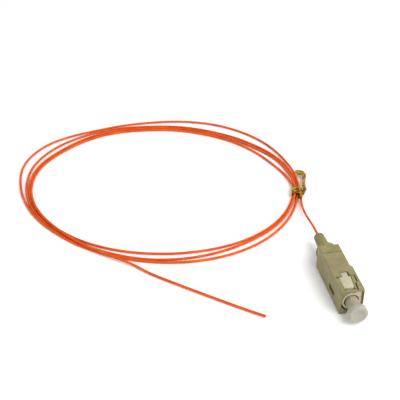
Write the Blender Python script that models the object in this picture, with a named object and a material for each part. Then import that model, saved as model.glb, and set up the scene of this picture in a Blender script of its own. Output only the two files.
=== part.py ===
"""Fibre optic pigtail: a push-pull plug for multimode fibre on a coil of 0.9 mm buffered fibre.

The plug lies on its lower window face, with its mating end towards -Y and its key towards +X. The origin is
on the floor, under the middle of the grip housing. The fibre leaves the boot towards +Y, passes through a
twist tie, goes round the coil and ends in a bare cut end that lies beside the plug.
"""
import bmesh
import bpy
import numpy as np
from math import cos, degrees, radians, sin, tau
from mathutils import Matrix, Vector

MM = 0.001
CUT_PAST = 0.4 * MM            # how far a cutter reaches past the face that it opens

# Clearances
FIT_GAP = 0.15 * MM            # running gap between pieces that slide in each other
SEAT_GAP = 0.3 * MM            # gap left where one piece rests on another
PRESS_GAP = 0.08 * MM          # gap left round a piece that is pressed in

# Grip housing, the outer shell that the fingers pull
GRIP_LENGTH = 25.0 * MM
GRIP_WIDTH = 7.4 * MM          # across the key direction, X
GRIP_HEIGHT = 9.0 * MM         # across the windows, Z
GRIP_EDGE = 0.4 * MM           # bevel of the long edges
GRIP_LID = 0.5 * MM            # wall at the windows
GRIP_SIDE = 0.6 * MM           # wall on the side opposite the key
GRIP_TRAVEL = 1.0 * MM         # how far the housing pulls back on the plug frame

# Everything on the ferrule's axis sits this far from the housing's middle, towards the key
AXIS_X = 0.3 * MM

# Key panel on the +X side
KEY_PROUD = 0.8 * MM
KEY_LENGTH = 12.6 * MM         # full height, from the mating end
KEY_RAMP = 1.5 * MM            # sloped rear end
KEY_INSET = 0.35 * MM          # below the top face and above the bottom face
KEY_WALL = 0.5 * MM            # outer wall of the hollow key
KEY_POCKET = 1.0 * MM          # depth of the hollow, from the mating end
KEY_CORNER = 0.3 * MM          # cut off the outer corner at the mating end, and twice this along the key

# Window in the top and bottom faces, and what shows in it
CATCH_LENGTH = 5.6 * MM        # wide part of the catch on the plug frame
CATCH_WIDTH = 4.0 * MM
CATCH_TAPER = 0.6 * MM         # narrower by this much at the front, on the key side
CATCH_FRONT = 2.0 * MM         # from the mating end of the housing
TAB_LENGTH = 2.2 * MM          # narrow rear part of the catch
TAB_WIDTH = 2.0 * MM
TAB_SIDE = 0.25 * MM           # the narrow part's middle, towards the key
CATCH_BELOW = 0.15 * MM        # the catch stays this far below the face
TAB_SLOT = 0.45 * MM           # deep gap beside the narrow part, on the key side
TAB_SLOT_DEPTH = 1.6 * MM      # how far that gap goes on down into the plug frame
WINDOW_NOTCH = (0.9 * MM, 0.8 * MM)       # extra corner at the rear of the window, X and Y
CHANNEL_WIDTH = 4.3 * MM       # shallow recess from the window to the mating end
CHANNEL_DEPTH = 0.2 * MM
RELIEF_DEPTH = 0.4 * MM        # narrow slots beside the window, near the key
REAR_SLOT = (3.0 * MM, 3.5 * MM, 4.4 * MM, 8.2 * MM)       # X limits, nearest and furthest from the middle
FRONT_SLOT = (2.1 * MM, 2.65 * MM, 8.5 * MM, 12.1 * MM)
CROSS_SLOT = (2.0 * MM, 3.2 * MM, 4.4 * MM, 4.85 * MM)     # joins the rear slot to the window
THUMB_GROOVE = 8.1 * MM        # groove across the faces, behind the middle
THUMB_GROOVE_WIDTH = 0.4 * MM
THUMB_GROOVE_DEPTH = 0.25 * MM
SIDE_RECESS_LENGTH = 5.4 * MM  # round-ended recess in the -X side
SIDE_RECESS_WIDTH = 1.8 * MM
SIDE_RECESS_DEPTH = 0.35 * MM
SIDE_RECESS_MIDDLE = 4.1 * MM  # from the middle, towards the mating end
SIDE_RECESS_Z = 3.4 * MM
SCOOP_DEPTH = 0.4 * MM         # finger scoop in each side face, behind the middle
SCOOP_REAR = 9.5 * MM          # where it starts, flush with the face
SCOOP_KEY_SIDE = 1.4 * MM      # the scoop on the key side is this much shorter
# The curved step that ends a scoop: height, distance from the middle, share of the scoop's depth
SCOOP_STEP = ((0.45, 1.8, 0.1), (1.2, 2.0, 0.5), (2.4, 2.4, 0.85), (3.8, 3.3, 1.0), (5.2, 3.9, 1.0),
              (6.4, 3.6, 0.95), (7.4, 2.9, 0.8), (8.55, 2.1, 0.4))

# Plug frame, the cream inner body
FRAME_RECESS = 0.35 * MM       # below the housing's mating end
FRAME_LENGTH = 21.65 * MM
FRAME_KEY_SIDE = 3.4 * MM      # from the housing's middle to the face beside the key
FRAME_STEP = 2.5 * MM          # that face ends this far in front of the housing's middle
FRAME_REAR_SIDE = 2.95 * MM    # from the housing's middle to the face behind that step
FRAME_CHAMFER = 2.2 * MM       # the two corners away from the key
FRAME_NOSE = 3.2 * MM          # radius of the rounded side of the mating end
FRAME_NOSE_ARC = (75, 285, 15)         # first and last angle of the rounded side, and step, in degrees
FRAME_NOSE_LENGTH = 1.85 * MM
FRAME_BORE = 4.9 * MM          # opening at the mating end, diameter
FRAME_BORE_DEPTH = 6.85 * MM
FRAME_CORNER = 0.2 * MM        # cut off the corners beside the key
FRAME_WALL = 1.0 * MM          # inner wall that stops the ferrule flange
FRAME_CHAMBER = 4.6 * MM       # rear chamber, diameter

# Ferrule unit
FERRULE = 2.5 * MM             # diameter
FERRULE_LENGTH = 14.0 * MM
FERRULE_TIP = 0.85 * MM        # past the plug frame's mating end
FERRULE_CHAMFER = 0.35 * MM
FERRULE_FLOAT = 1.0 * MM       # how far the ferrule springs back
FLANGE = 4.2 * MM              # collar of the flange, diameter
FLANGE_COLLAR = 1.0 * MM
FLANGE_BARREL = 3.2 * MM       # diameter
FLANGE_LENGTH = 7.2 * MM
SPRING_WIRE = 0.35 * MM        # diameter
SPRING_TURNS = 5
SPRING_OUTER = 4.2 * MM

# Rear body, boot and dust cap
REAR_NECK = 4.2 * MM           # diameter that plugs into the frame's chamber
REAR_NECK_LENGTH = 3.4 * MM
REAR_BARREL = 5.6 * MM
REAR_COLLAR = 7.4 * MM         # round collar behind the housing
REAR_COLLAR_LENGTH = 1.7 * MM
REAR_STEM = 2.5 * MM
REAR_STEM_LENGTH = 3.2 * MM
FIBRE_HOLE = 1.3 * MM          # fibre passage through flange, rear body and boot
BOOT_BASE = 4.4 * MM
BOOT_END = 3.8 * MM
BOOT_LENGTH = 8.5 * MM
BOOT_ROUND = 1.0 * MM
CAP_TUBE = 4.3 * MM
CAP_COVERS = 5.2 * MM          # length of ferrule inside the cap
CAP_TUBE_LENGTH = 9.1 * MM
CAP_HEAD = 6.5 * MM
CAP_HEAD_LENGTH = 2.4 * MM
CAP_ROUND = 0.5 * MM
CAP_SHOULDER = 0.7 * MM

# Fibre
FIBRE = 0.9 * MM               # tight buffer, diameter
COIL_RADIUS = 52.0 * MM        # mean radius of the turns
COIL_JOIN = (2.1 * MM, 51.8 * MM)      # where the lead meets the coil
COIL_HEADING = -1.25           # degrees that the angles below are turned by, about Z
COIL_COVER = 0.05 * MM         # the coil's solid stands this far outside the strands
COIL_STEP = 4.0                # degrees between sections
COIL_START = -24.0             # degrees, where the lead joins the bundle
COIL_END = 252.0               # degrees in the last pass, where the tail leaves it
TIE_ANGLE = -15.0
TIE_SPREAD = 6.0               # degrees over which the strands come down from the tie to the floor
TIE_LIFT = 0.62 * MM           # the tie holds the strands this far off the floor

# Each pass of the fibre round the coil, as angle: (mm outside the mean radius, layer of fibre)
COIL_PASSES = (
    {COIL_START: (5.4, 0.2), -20: (4.3, 0.6), TIE_ANGLE: (3.3, 1.15), -5: (3.2, 0.6), 10: (2.5, 0),
     30: (2.8, 0), 55: (2.2, 0), 90: (-0.9, 0), 115: (0.2, 0), 140: (6.9, 0), 157: (7.1, 0),
     172: (3.9, 0), 190: (1.2, 0), 215: (-1.4, 0), 240: (-1.3, 0), 260: (0.3, 0), 280: (2.4, 0),
     300: (3.9, 0), 320: (4.1, 0), 335: (3.6, 0)},
    {TIE_ANGLE: (3.2, 0), -5: (2.4, 0), 10: (1.0, 0), 30: (-2.4, 0), 55: (-4.7, 0), 90: (-4.5, 0),
     115: (-1.0, 0), 140: (1.8, 0), 157: (2.6, 0), 172: (1.4, 0), 190: (0.2, 0), 215: (-2.35, 0),
     240: (-2.3, 0), 260: (-0.8, 0), 280: (-0.1, 0), 300: (0.5, 0), 320: (2.3, 0.25), 335: (2.45, 0.95)},
    {TIE_ANGLE: (2.3, 1.12), -5: (1.2, 0.3), 10: (0.0, 0), 30: (-4.3, 0), 55: (-6.5, 0), 90: (-6.2, 0),
     115: (-2.9, 0), 140: (-1.9, 0), 157: (0.3, 0), 172: (0.4, 0), 190: (-0.8, 0), 215: (-3.3, 0),
     240: (-4.4, 0), 260: (-4.5, 0), 280: (-3.2, 0), 300: (-0.8, 0), 320: (1.1, 0), 335: (1.5, 0)},
    {TIE_ANGLE: (2.2, 0), -5: (-0.1, 0), 10: (-4.0, 0), 30: (-6.3, 0), 55: (-8.2, 0), 90: (-7.8, 0),
     115: (-4.7, 0), 140: (-3.2, 0), 157: (-0.9, 0), 172: (-0.7, 0.1), 183: (-1.1, 0.75),
     190: (-1.3, 1.1), 200: (-1.8, 1.12), 215: (-2.6, 1.08), 240: (-0.9, 1.1), COIL_END: (2.0, 0.4)},
)
COIL_SMOOTHING = 5.0           # degrees over which the passes are rounded

# Route of the lead in mm, from the boot to the coil
LEAD_ROUTE = (
    (0.3, 24.7, 4.5), (0.3, 27.3, 4.5), (0.31, 30.2, 4.35), (0.38, 33.6, 3.85), (0.55, 37.4, 3.0),
    (0.86, 41.7, 2.0), (1.25, 46.0, 1.3), (1.68, 49.5, 0.95), (2.0, 51.5, 0.85),
)
# Route of the tail in mm, as steps from the coil's last point in X and Y, with its height
TAIL_ROUTE = (
    (0.5, -0.4, 0.8), (3.5, -3.6, 0.6), (6.5, -6.9, 0.5), (9.8, -9.9, 0.5), (15.9, -15.2, 0.5),
    (21.8, -20.2, 0.5), (27.5, -25.0, 0.5), (33.1, -29.6, 0.5), (37.1, -32.8, 0.5), (40.4, -35.3, 0.5),
)
ROUTE_SPACING = 2.5            # fibre diameters between points of a tube

# Twist tie
TIE_LENGTH = 5.4 * MM          # along the strands
TIE_WALL = 0.25 * MM
TIE_GAP = 0.2 * MM             # round the bundle
TIE_STRIP_THICKNESS = 0.6 * MM
# Route of the twisted ends in mm, as steps from the middle of the bundle in X and Y, with its height,
# then the width of the strip in mm and its turn in degrees
TIE_ROUTE = (
    (0.9, -3.2, 1.4, 1.3, 0), (2.0, -2.4, 1.5, 1.5, 40), (3.2, -1.1, 1.6, 1.5, 100),
    (3.8, 0.7, 1.6, 1.4, 170), (4.2, 2.9, 1.5, 1.4, 240), (4.7, 5.5, 1.4, 1.5, 300),
    (5.6, 8.1, 1.4, 1.8, 345), (5.8, 10.1, 1.5, 2.0, 360), (5.1, 11.6, 1.5, 2.2, 360),
    (4.3, 12.1, 1.5, 2.2, 360),
)

# Derived places on the plug, all on the axis through the ferrule
AXIS_Z = GRIP_HEIGHT / 2
GRIP_FRONT = -GRIP_LENGTH / 2
GRIP_REAR = GRIP_LENGTH / 2
FRAME_FRONT = GRIP_FRONT + FRAME_RECESS
FRAME_REAR = FRAME_FRONT + FRAME_LENGTH
CATCH_Y0 = GRIP_FRONT + CATCH_FRONT
CATCH_Y1 = CATCH_Y0 + CATCH_LENGTH
TAB_Y1 = CATCH_Y1 + TAB_LENGTH
TAB_X0 = TAB_SIDE - TAB_WIDTH / 2
TAB_X1 = TAB_SIDE + TAB_WIDTH / 2
WALL_Y0 = FRAME_FRONT + FRAME_BORE_DEPTH
WALL_Y1 = WALL_Y0 + FRAME_WALL
FLANGE_Y0 = WALL_Y1 + SEAT_GAP
FERRULE_FRONT = FRAME_FRONT - FERRULE_TIP
REAR_NECK_Y0 = FRAME_REAR - REAR_NECK_LENGTH
COLLAR_Y0 = GRIP_REAR + GRIP_TRAVEL + SEAT_GAP
COLLAR_Y1 = COLLAR_Y0 + REAR_COLLAR_LENGTH
BOOT_Y0 = COLLAR_Y1 + SEAT_GAP
BOOT_Y1 = BOOT_Y0 + BOOT_LENGTH
CAP_Y1 = FERRULE_FRONT + CAP_COVERS
CAP_HEAD_Y = CAP_Y1 - CAP_TUBE_LENGTH


def clear_scene():
    for item in list(bpy.data.objects):
        bpy.data.objects.remove(item)


def material(name, colour, roughness, metallic=0.0, alpha=1.0):
    mat = bpy.data.materials.new(name)
    mat.use_nodes = True
    shader = mat.node_tree.nodes["Principled BSDF"]
    shader.inputs["Base Color"].default_value = (*colour, 1.0)
    shader.inputs["Roughness"].default_value = roughness
    shader.inputs["Metallic"].default_value = metallic
    shader.inputs["Alpha"].default_value = alpha
    return mat


def add_object(name, bm, mat=None, smooth=None):
    """Makes an object from a bmesh; smooth is the angle in degrees past which edges stay sharp."""
    bmesh.ops.recalc_face_normals(bm, faces=bm.faces)
    mesh = bpy.data.meshes.new(name)
    bm.to_mesh(mesh)
    bm.free()
    if smooth is not None:
        mesh.shade_smooth()
        mesh.set_sharp_from_angle(angle=radians(smooth))
    item = bpy.data.objects.new(name, mesh)
    bpy.context.collection.objects.link(item)
    if mat:
        mesh.materials.append(mat)
    return item


def cut(target, bm, name, operation="DIFFERENCE"):
    """Cuts a shape from an object, or joins it to the object, with a Boolean."""
    cutter = add_object(name, bm)
    cutter.hide_render = True
    cutter.display_type = "WIRE"
    modifier = target.modifiers.new(name, "BOOLEAN")
    modifier.object = cutter
    modifier.operation = operation
    modifier.solver = "EXACT"


def prism(points, start, end, axis="Y"):
    """A closed prism: the outline is in X and Z for a prism along Y, in X and Y for one along Z."""
    bm = bmesh.new()
    if axis == "Y":
        verts = [bm.verts.new((x, start, z)) for x, z in points]
        step = Vector((0, end - start, 0))
    else:
        verts = [bm.verts.new((x, y, start)) for x, y in points]
        step = Vector((0, 0, end - start))
    face = bm.faces.new(verts)
    moved = bmesh.ops.extrude_face_region(bm, geom=[face])["geom"]
    bmesh.ops.translate(bm, vec=step, verts=[v for v in moved if isinstance(v, bmesh.types.BMVert)])
    return bm


def block(x0, x1, y0, y1, z0, z1):
    return prism([(x0, z0), (x1, z0), (x1, z1), (x0, z1)], y0, y1)


def corner_outline(x0, x1, z0, z1, left, right):
    """A rectangle in X and Z whose corners are cut by left on the -X side and by right on the +X side."""
    return [(x0 + left, z0), (x1 - right, z0), (x1, z0 + right), (x1, z1 - right),
            (x1 - right, z1), (x0 + left, z1), (x0, z1 - left), (x0, z0 + left)]


def turned(profile, steps=40):
    """A piece turned about the plug's axis from a closed profile of (y, radius) points."""
    bm = bmesh.new()
    points = [bm.verts.new((AXIS_X + radius, y, AXIS_Z)) for y, radius in profile]
    edges = [bm.edges.new((a, b)) for a, b in zip(points, points[1:])]
    if profile[0][1] > 0:
        edges.append(bm.edges.new((points[-1], points[0])))
    bmesh.ops.spin(bm, geom=points + edges, cent=(AXIS_X, 0, AXIS_Z), axis=(0, 1, 0), angle=tau,
                   steps=steps, use_merge=True)
    bmesh.ops.remove_doubles(bm, verts=bm.verts, dist=1e-7)
    return bm


def arc(centre_y, centre_r, radius, start, end, steps=5):
    """Points of a rounded edge on a turned profile, with angles in degrees from +Y towards +radius."""
    angles = [radians(start + (end - start) * i / steps) for i in range(steps + 1)]
    return [(centre_y + radius * cos(a), centre_r + radius * sin(a)) for a in angles]


def make_grip_housing(mat):
    x = GRIP_WIDTH / 2
    edge = GRIP_EDGE
    shell = corner_outline(-x, x, 0, GRIP_HEIGHT, edge, edge)
    body = add_object("grip_housing", prism(shell, GRIP_FRONT, GRIP_REAR), mat)
    key_rear = GRIP_FRONT + KEY_LENGTH
    key_outline = [(x - edge, GRIP_FRONT), (x + KEY_PROUD - KEY_CORNER, GRIP_FRONT),
                   (x + KEY_PROUD, GRIP_FRONT + 2 * KEY_CORNER), (x + KEY_PROUD, key_rear),
                   (x - edge, key_rear + KEY_RAMP * (KEY_PROUD + edge) / KEY_PROUD)]
    cut(body, prism(key_outline, KEY_INSET, GRIP_HEIGHT - KEY_INSET, "Z"), "key_panel", "UNION")

    past = CUT_PAST
    front = GRIP_FRONT - past
    above = GRIP_HEIGHT + past
    cavity_z1 = GRIP_HEIGHT - GRIP_LID
    cavity = corner_outline(-x + GRIP_SIDE, FRAME_REAR_SIDE + FIT_GAP, GRIP_LID, cavity_z1, FRAME_CHAMFER, 0)
    outline = [p for i, p in enumerate(cavity) if p not in cavity[:i]]
    cut(body, prism(outline, front, GRIP_REAR + past), "frame_cavity")
    wide_part = block(0, FRAME_KEY_SIDE + FIT_GAP, front, -FRAME_STEP + FIT_GAP, GRIP_LID, cavity_z1)
    cut(body, wide_part, "frame_cavity_front")
    pocket_x = x + KEY_PROUD - KEY_WALL
    pocket_z0 = KEY_INSET + KEY_WALL
    pocket_z1 = GRIP_HEIGHT - pocket_z0
    pocket_y1 = GRIP_FRONT + KEY_POCKET
    pocket = block(FRAME_KEY_SIDE, pocket_x, front, pocket_y1, pocket_z0, pocket_z1)
    cut(body, pocket, "key_pocket")

    right = CATCH_WIDTH / 2 + FIT_GAP
    left = -right
    tab_left, tab_right = TAB_X0 - FIT_GAP, TAB_X1 + FIT_GAP + TAB_SLOT
    window_y0 = CATCH_Y0 - GRIP_TRAVEL - FIT_GAP
    window_y1 = CATCH_Y1 + FIT_GAP
    cut(body, block(left, right, window_y0, window_y1, -past, above), "window_wide")
    cut(body, block(tab_left, tab_right, CATCH_Y1, TAB_Y1 + FIT_GAP, -past, above), "window_narrow")
    notch_x0, notch_y0 = left - WINDOW_NOTCH[0], window_y1 - WINDOW_NOTCH[1]
    cut(body, block(notch_x0, left + past, notch_y0, window_y1, AXIS_Z, above), "window_notch")
    groove_end = THUMB_GROOVE + THUMB_GROOVE_WIDTH
    slots = {"rear": REAR_SLOT, "front": FRONT_SLOT, "cross": CROSS_SLOT}
    for name, face, out in (("top", GRIP_HEIGHT, 1), ("bottom", 0, -1)):
        def sunk(size):
            return sorted((face - out * size, face + out * past))
        groove = block(-x - past, x + past, THUMB_GROOVE, groove_end, *sunk(THUMB_GROOVE_DEPTH))
        cut(body, groove, name + "_groove")
        channel = block(-CHANNEL_WIDTH / 2, CHANNEL_WIDTH / 2, front, window_y0 + past, *sunk(CHANNEL_DEPTH))
        cut(body, channel, name + "_channel")
        for slot, (slot_x0, slot_x1, near, far) in slots.items():
            relief = block(slot_x0, slot_x1, -far, -near, *sunk(RELIEF_DEPTH))
            cut(body, relief, f"{name}_{slot}_slot")
    cut(body, scoop(-1, 0), "side_scoop")
    cut(body, scoop(1, SCOOP_KEY_SIDE), "key_side_scoop")

    bm = bmesh.new()
    half = SIDE_RECESS_WIDTH / 2
    run = SIDE_RECESS_LENGTH / 2 - half
    rim = []
    for end in (1, -1):
        for i in range(9):
            angle = radians(-90 + 180 * i / 8)
            rim.append((end * (run + half * cos(angle)), end * half * sin(angle)))
    places = [(-x - past, y - SIDE_RECESS_MIDDLE, z + SIDE_RECESS_Z) for y, z in rim]
    face = bm.faces.new([bm.verts.new(place) for place in places])
    moved = bmesh.ops.extrude_face_region(bm, geom=[face])["geom"]
    bmesh.ops.translate(bm, vec=(past + SIDE_RECESS_DEPTH, 0, 0),
                        verts=[v for v in moved if isinstance(v, bmesh.types.BMVert)])
    cut(body, bm, "side_recess")
    return body


def scoop(side, shift):
    """Cutter of a finger scoop: it deepens from the rear and ends in a curved step; side is -1 or 1 in X."""
    face = side * GRIP_WIDTH / 2
    outside = face + side * CUT_PAST
    bm = bmesh.new()
    rows = []
    for height, step, share in SCOOP_STEP:
        z, y, inside = height * MM, step * MM + shift, face - side * SCOOP_DEPTH * share
        corners = [(outside, y), (inside, y), (face, SCOOP_REAR), (outside, SCOOP_REAR)]
        rows.append([bm.verts.new((cx, cy, z)) for cx, cy in corners])
    for low, high in zip(rows, rows[1:]):
        for k in range(len(low)):
            n = (k + 1) % len(low)
            bm.faces.new((low[k], low[n], high[n], high[k]))
    bm.faces.new(rows[0][::-1])
    bm.faces.new(rows[-1])
    bmesh.ops.triangulate(bm, faces=bm.faces)
    return bm


def nose_outline(right, z0, z1):
    """The mating end's outline in X and Z: round about the ferrule on one side, square beside the key."""
    first, last, step = FRAME_NOSE_ARC
    rim = [radians(angle) for angle in range(first, last + 1, step)]
    rounded = [(AXIS_X + FRAME_NOSE * cos(a), AXIS_Z + FRAME_NOSE * sin(a)) for a in rim]
    slope = AXIS_X + FRAME_NOSE / 2
    return [*rounded, (slope, z0), (right, z0), (right, z1), (slope, z1)]


def make_plug_frame(mat):
    x0 = -GRIP_WIDTH / 2 + GRIP_SIDE + FIT_GAP
    z0 = GRIP_LID + FIT_GAP
    z1 = GRIP_HEIGHT - z0
    nose_y1 = FRAME_FRONT + FRAME_NOSE_LENGTH
    outline = corner_outline(x0, FRAME_REAR_SIDE, z0, z1, FRAME_CHAMFER, FRAME_CORNER)
    frame = add_object("plug_frame", prism(outline, nose_y1, FRAME_REAR), mat, smooth=30)
    key_side = corner_outline(0, FRAME_KEY_SIDE, z0, z1, FRAME_CORNER, FRAME_CORNER)
    cut(frame, prism(key_side, nose_y1, -FRAME_STEP), "key_side", "UNION")
    nose = nose_outline(FRAME_KEY_SIDE, z0, z1)
    cut(frame, prism(nose, FRAME_FRONT, nose_y1 + CUT_PAST), "nose", "UNION")
    # the catches reach into both windows
    low = CATCH_BELOW
    for name, c0, c1 in (("top", z1 - low, GRIP_HEIGHT - low), ("bottom", low, z0 + low)):
        half = CATCH_WIDTH / 2
        catch = [(-half, CATCH_Y0), (half - CATCH_TAPER, CATCH_Y0), (half, CATCH_Y1), (TAB_X1, CATCH_Y1),
                 (TAB_X1, TAB_Y1), (TAB_X0, TAB_Y1), (TAB_X0, CATCH_Y1), (-half, CATCH_Y1)]
        cut(frame, prism(catch, c0, c1, "Z"), name + "_catch", "UNION")
    gap = block(TAB_X1, TAB_X1 + TAB_SLOT + FIT_GAP, CATCH_Y1, TAB_Y1, z1 - TAB_SLOT_DEPTH, GRIP_HEIGHT)
    cut(frame, gap, "tab_gap")
    past = CUT_PAST
    bore, hole, chamber = FRAME_BORE / 2, FERRULE / 2 + FIT_GAP, FRAME_CHAMBER / 2
    front, rear = FRAME_FRONT - past, FRAME_REAR + past
    cut(frame, turned([(front, 0), (front, bore), (WALL_Y0, bore), (WALL_Y0, hole), (WALL_Y1, hole),
                       (WALL_Y1, chamber), (rear, chamber), (rear, 0)]), "stepped_bore")
    return frame


def make_ferrule(mat):
    rear = FERRULE_FRONT + FERRULE_LENGTH
    r = FERRULE / 2
    tip = FERRULE_FRONT
    profile = [(tip, 0), (tip, r - FERRULE_CHAMFER), (tip + FERRULE_CHAMFER, r), (rear, r), (rear, 0)]
    return add_object("ferrule", turned(profile), mat, smooth=30)


def make_ferrule_flange(mat):
    inner = FERRULE / 2 + PRESS_GAP
    pocket = FERRULE_FRONT + FERRULE_LENGTH + PRESS_GAP
    rear = FLANGE_Y0 + FLANGE_LENGTH
    collar = FLANGE_Y0 + FLANGE_COLLAR
    outer, barrel, hole = FLANGE / 2, FLANGE_BARREL / 2, FIBRE_HOLE / 2
    profile = [(FLANGE_Y0, inner), (FLANGE_Y0, outer), (collar, outer), (collar, barrel), (rear, barrel),
               (rear, hole), (pocket, hole), (pocket, inner)]
    return add_object("ferrule_flange", turned(profile, 32), mat, smooth=30)


def make_spring(mat):
    """A compression spring between the flange and the rear body, one closed coil of round wire."""
    wire = SPRING_WIRE / 2
    start = FLANGE_Y0 + FLANGE_COLLAR + SEAT_GAP + wire
    end = REAR_NECK_Y0 - FERRULE_FLOAT - SEAT_GAP - wire
    radius = SPRING_OUTER / 2 - wire
    steps = 16 * SPRING_TURNS
    path = []
    for i in range(steps + 1):
        angle = tau * SPRING_TURNS * i / steps
        along = start + (end - start) * i / steps
        path.append(Vector((AXIS_X + radius * cos(angle), along, AXIS_Z + radius * sin(angle))))
    return add_object("ferrule_spring", swept(path, 6, wire), mat, smooth=60)


def swept(path, sides, radius):
    """A round bar along a list of points, closed by its two end faces."""
    bm = bmesh.new()
    rings = []
    normal = None
    for i, point in enumerate(path):
        ahead = (path[min(i + 1, len(path) - 1)] - path[max(i - 1, 0)]).normalized()
        if normal is None:
            normal = ahead.orthogonal().normalized()
        normal = (normal - ahead * normal.dot(ahead)).normalized()
        other = ahead.cross(normal)
        ring = []
        for k in range(sides):
            a = tau * k / sides
            ring.append(bm.verts.new(point + (normal * cos(a) + other * sin(a)) * radius))
        rings.append(ring)
    for a, b in zip(rings, rings[1:]):
        for k in range(sides):
            n = (k + 1) % sides
            bm.faces.new((a[k], a[n], b[n], b[k]))
    bm.faces.new(rings[0][::-1])
    bm.faces.new(rings[-1])
    return bm


def make_rear_body(mat):
    hole = FIBRE_HOLE / 2
    stem_end = COLLAR_Y1 + REAR_STEM_LENGTH
    shoulder = FRAME_REAR + SEAT_GAP
    profile = [(REAR_NECK_Y0, hole), (REAR_NECK_Y0, REAR_NECK / 2), (shoulder, REAR_NECK / 2),
               (shoulder, REAR_BARREL / 2), (COLLAR_Y0, REAR_BARREL / 2)]
    profile += arc(COLLAR_Y0 + CAP_ROUND, REAR_COLLAR / 2 - CAP_ROUND, CAP_ROUND, 180, 90)
    profile += arc(COLLAR_Y1 - CAP_ROUND, REAR_COLLAR / 2 - CAP_ROUND, CAP_ROUND, 90, 0)
    profile += [(COLLAR_Y1, REAR_STEM / 2), (stem_end, REAR_STEM / 2), (stem_end, hole)]
    return add_object("rear_body", turned(profile), mat, smooth=30)


def make_boot(mat):
    hole = FIBRE_HOLE / 2
    socket = REAR_STEM / 2 + FIT_GAP
    socket_end = COLLAR_Y1 + REAR_STEM_LENGTH + SEAT_GAP
    profile = [(BOOT_Y0, socket), (BOOT_Y0, BOOT_BASE / 2)]
    profile += arc(BOOT_Y1 - BOOT_ROUND, BOOT_END / 2 - BOOT_ROUND, BOOT_ROUND, 90, 0)
    profile += [(BOOT_Y1, hole), (socket_end, hole), (socket_end, socket)]
    return add_object("boot", turned(profile), mat, smooth=40)


def make_dust_cap(mat):
    inner = FERRULE / 2 + FIT_GAP
    tube = CAP_TUBE / 2
    head = CAP_HEAD / 2
    floor_y = FERRULE_FRONT - SEAT_GAP
    head_front = CAP_HEAD_Y - CAP_HEAD_LENGTH
    profile = [(head_front, 0)]
    profile += arc(head_front + CAP_ROUND, head - CAP_ROUND, CAP_ROUND, 180, 90)
    profile += arc(CAP_HEAD_Y - CAP_ROUND, head - CAP_ROUND, CAP_ROUND, 90, 0)
    profile += [(CAP_HEAD_Y, tube + CAP_SHOULDER), (CAP_HEAD_Y + CAP_SHOULDER, tube), (CAP_Y1, tube),
                (CAP_Y1, inner), (floor_y, inner), (floor_y, 0)]
    return add_object("dust_cap", turned(profile), mat, smooth=40)


def coil_strand(step):
    """Angle in degrees, radius and centre height of every point of the fibre round the coil."""
    stations = []
    for turn, stops in enumerate(COIL_PASSES):
        stations += [(turn * 360 + angle, out, layer) for angle, (out, layer) in stops.items()]
    angles, radii, layers = (np.array(column) for column in zip(*stations))
    fine = np.arange(angles[0], angles[-1] + step / 2, step)
    reach = int(round(3 * COIL_SMOOTHING / step))
    kernel = np.exp(-0.5 * (np.arange(-reach, reach + 1) * step / COIL_SMOOTHING) ** 2)
    kernel /= kernel.sum()
    padded = fine[0] + np.arange(-reach, len(fine) + reach) * step
    smooth = []
    for values in (COIL_RADIUS + radii * MM, layers):
        first = (values[1] - values[0]) / (angles[1] - angles[0])
        last = (values[-1] - values[-2]) / (angles[-1] - angles[-2])
        line = np.interp(padded, angles, values)
        line = np.where(padded < angles[0], values[0] + first * (padded - angles[0]), line)
        line = np.where(padded > angles[-1], values[-1] + last * (padded - angles[-1]), line)
        smooth.append(np.convolve(line, kernel, mode="valid"))
    near_tie = np.exp(-0.5 * (((fine - TIE_ANGLE + 180) % 360 - 180) / TIE_SPREAD) ** 2)
    height = FIBRE / 2 + smooth[1] * FIBRE + near_tie * TIE_LIFT
    return fine, smooth[0], height


def coil_point(angle, radius, height):
    a, first = radians(angle + COIL_HEADING), radians(COIL_START + COIL_HEADING)
    reach = COIL_RADIUS + COIL_PASSES[0][COIL_START][0] * MM
    return Vector((COIL_JOIN[0] - reach * cos(first) + radius * cos(a),
                   COIL_JOIN[1] - reach * sin(first) + radius * sin(a), height))


def coil_section(angle, strand):
    """Inner and outer radius, bottom and top of the bundle where it crosses an angle."""
    fine, radii, heights = strand
    here = [i for i in range(len(fine)) if abs((fine[i] - angle + 180) % 360 - 180) < 0.26]
    reach = FIBRE / 2 + COIL_COVER
    bottom = max(min(heights[i] for i in here) - reach, 0.0)
    return (min(radii[i] for i in here) - reach, max(radii[i] for i in here) + reach, bottom,
            max(heights[i] for i in here) + reach)


def make_fibre_coil(mat):
    """The outer shape of the coil, one closed ring with a step where each free end leaves it."""
    strand = coil_strand(0.5)
    angles = [COIL_START + j * COIL_STEP for j in range(int(360 / COIL_STEP))]
    angles += [COIL_START - 1.0 + 360, COIL_END, COIL_END + 1.0]
    bevel = FIBRE / 3
    bm = bmesh.new()
    rings = []
    for angle in sorted(set(angles)):
        inner, outer, bottom, top = coil_section(angle, strand)
        outline = [(inner, bottom), (outer, bottom), (outer, top - bevel), (outer - bevel, top),
                   (inner + bevel, top), (inner, top - bevel)]
        rings.append([bm.verts.new(coil_point(angle, r, z)) for r, z in outline])
    for a, b in zip(rings, rings[1:] + rings[:1]):
        for k in range(len(a)):
            n = (k + 1) % len(a)
            bm.faces.new((a[k], a[n], b[n], b[k]))
    return add_object("fibre_coil", bm, mat, smooth=35)


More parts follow.
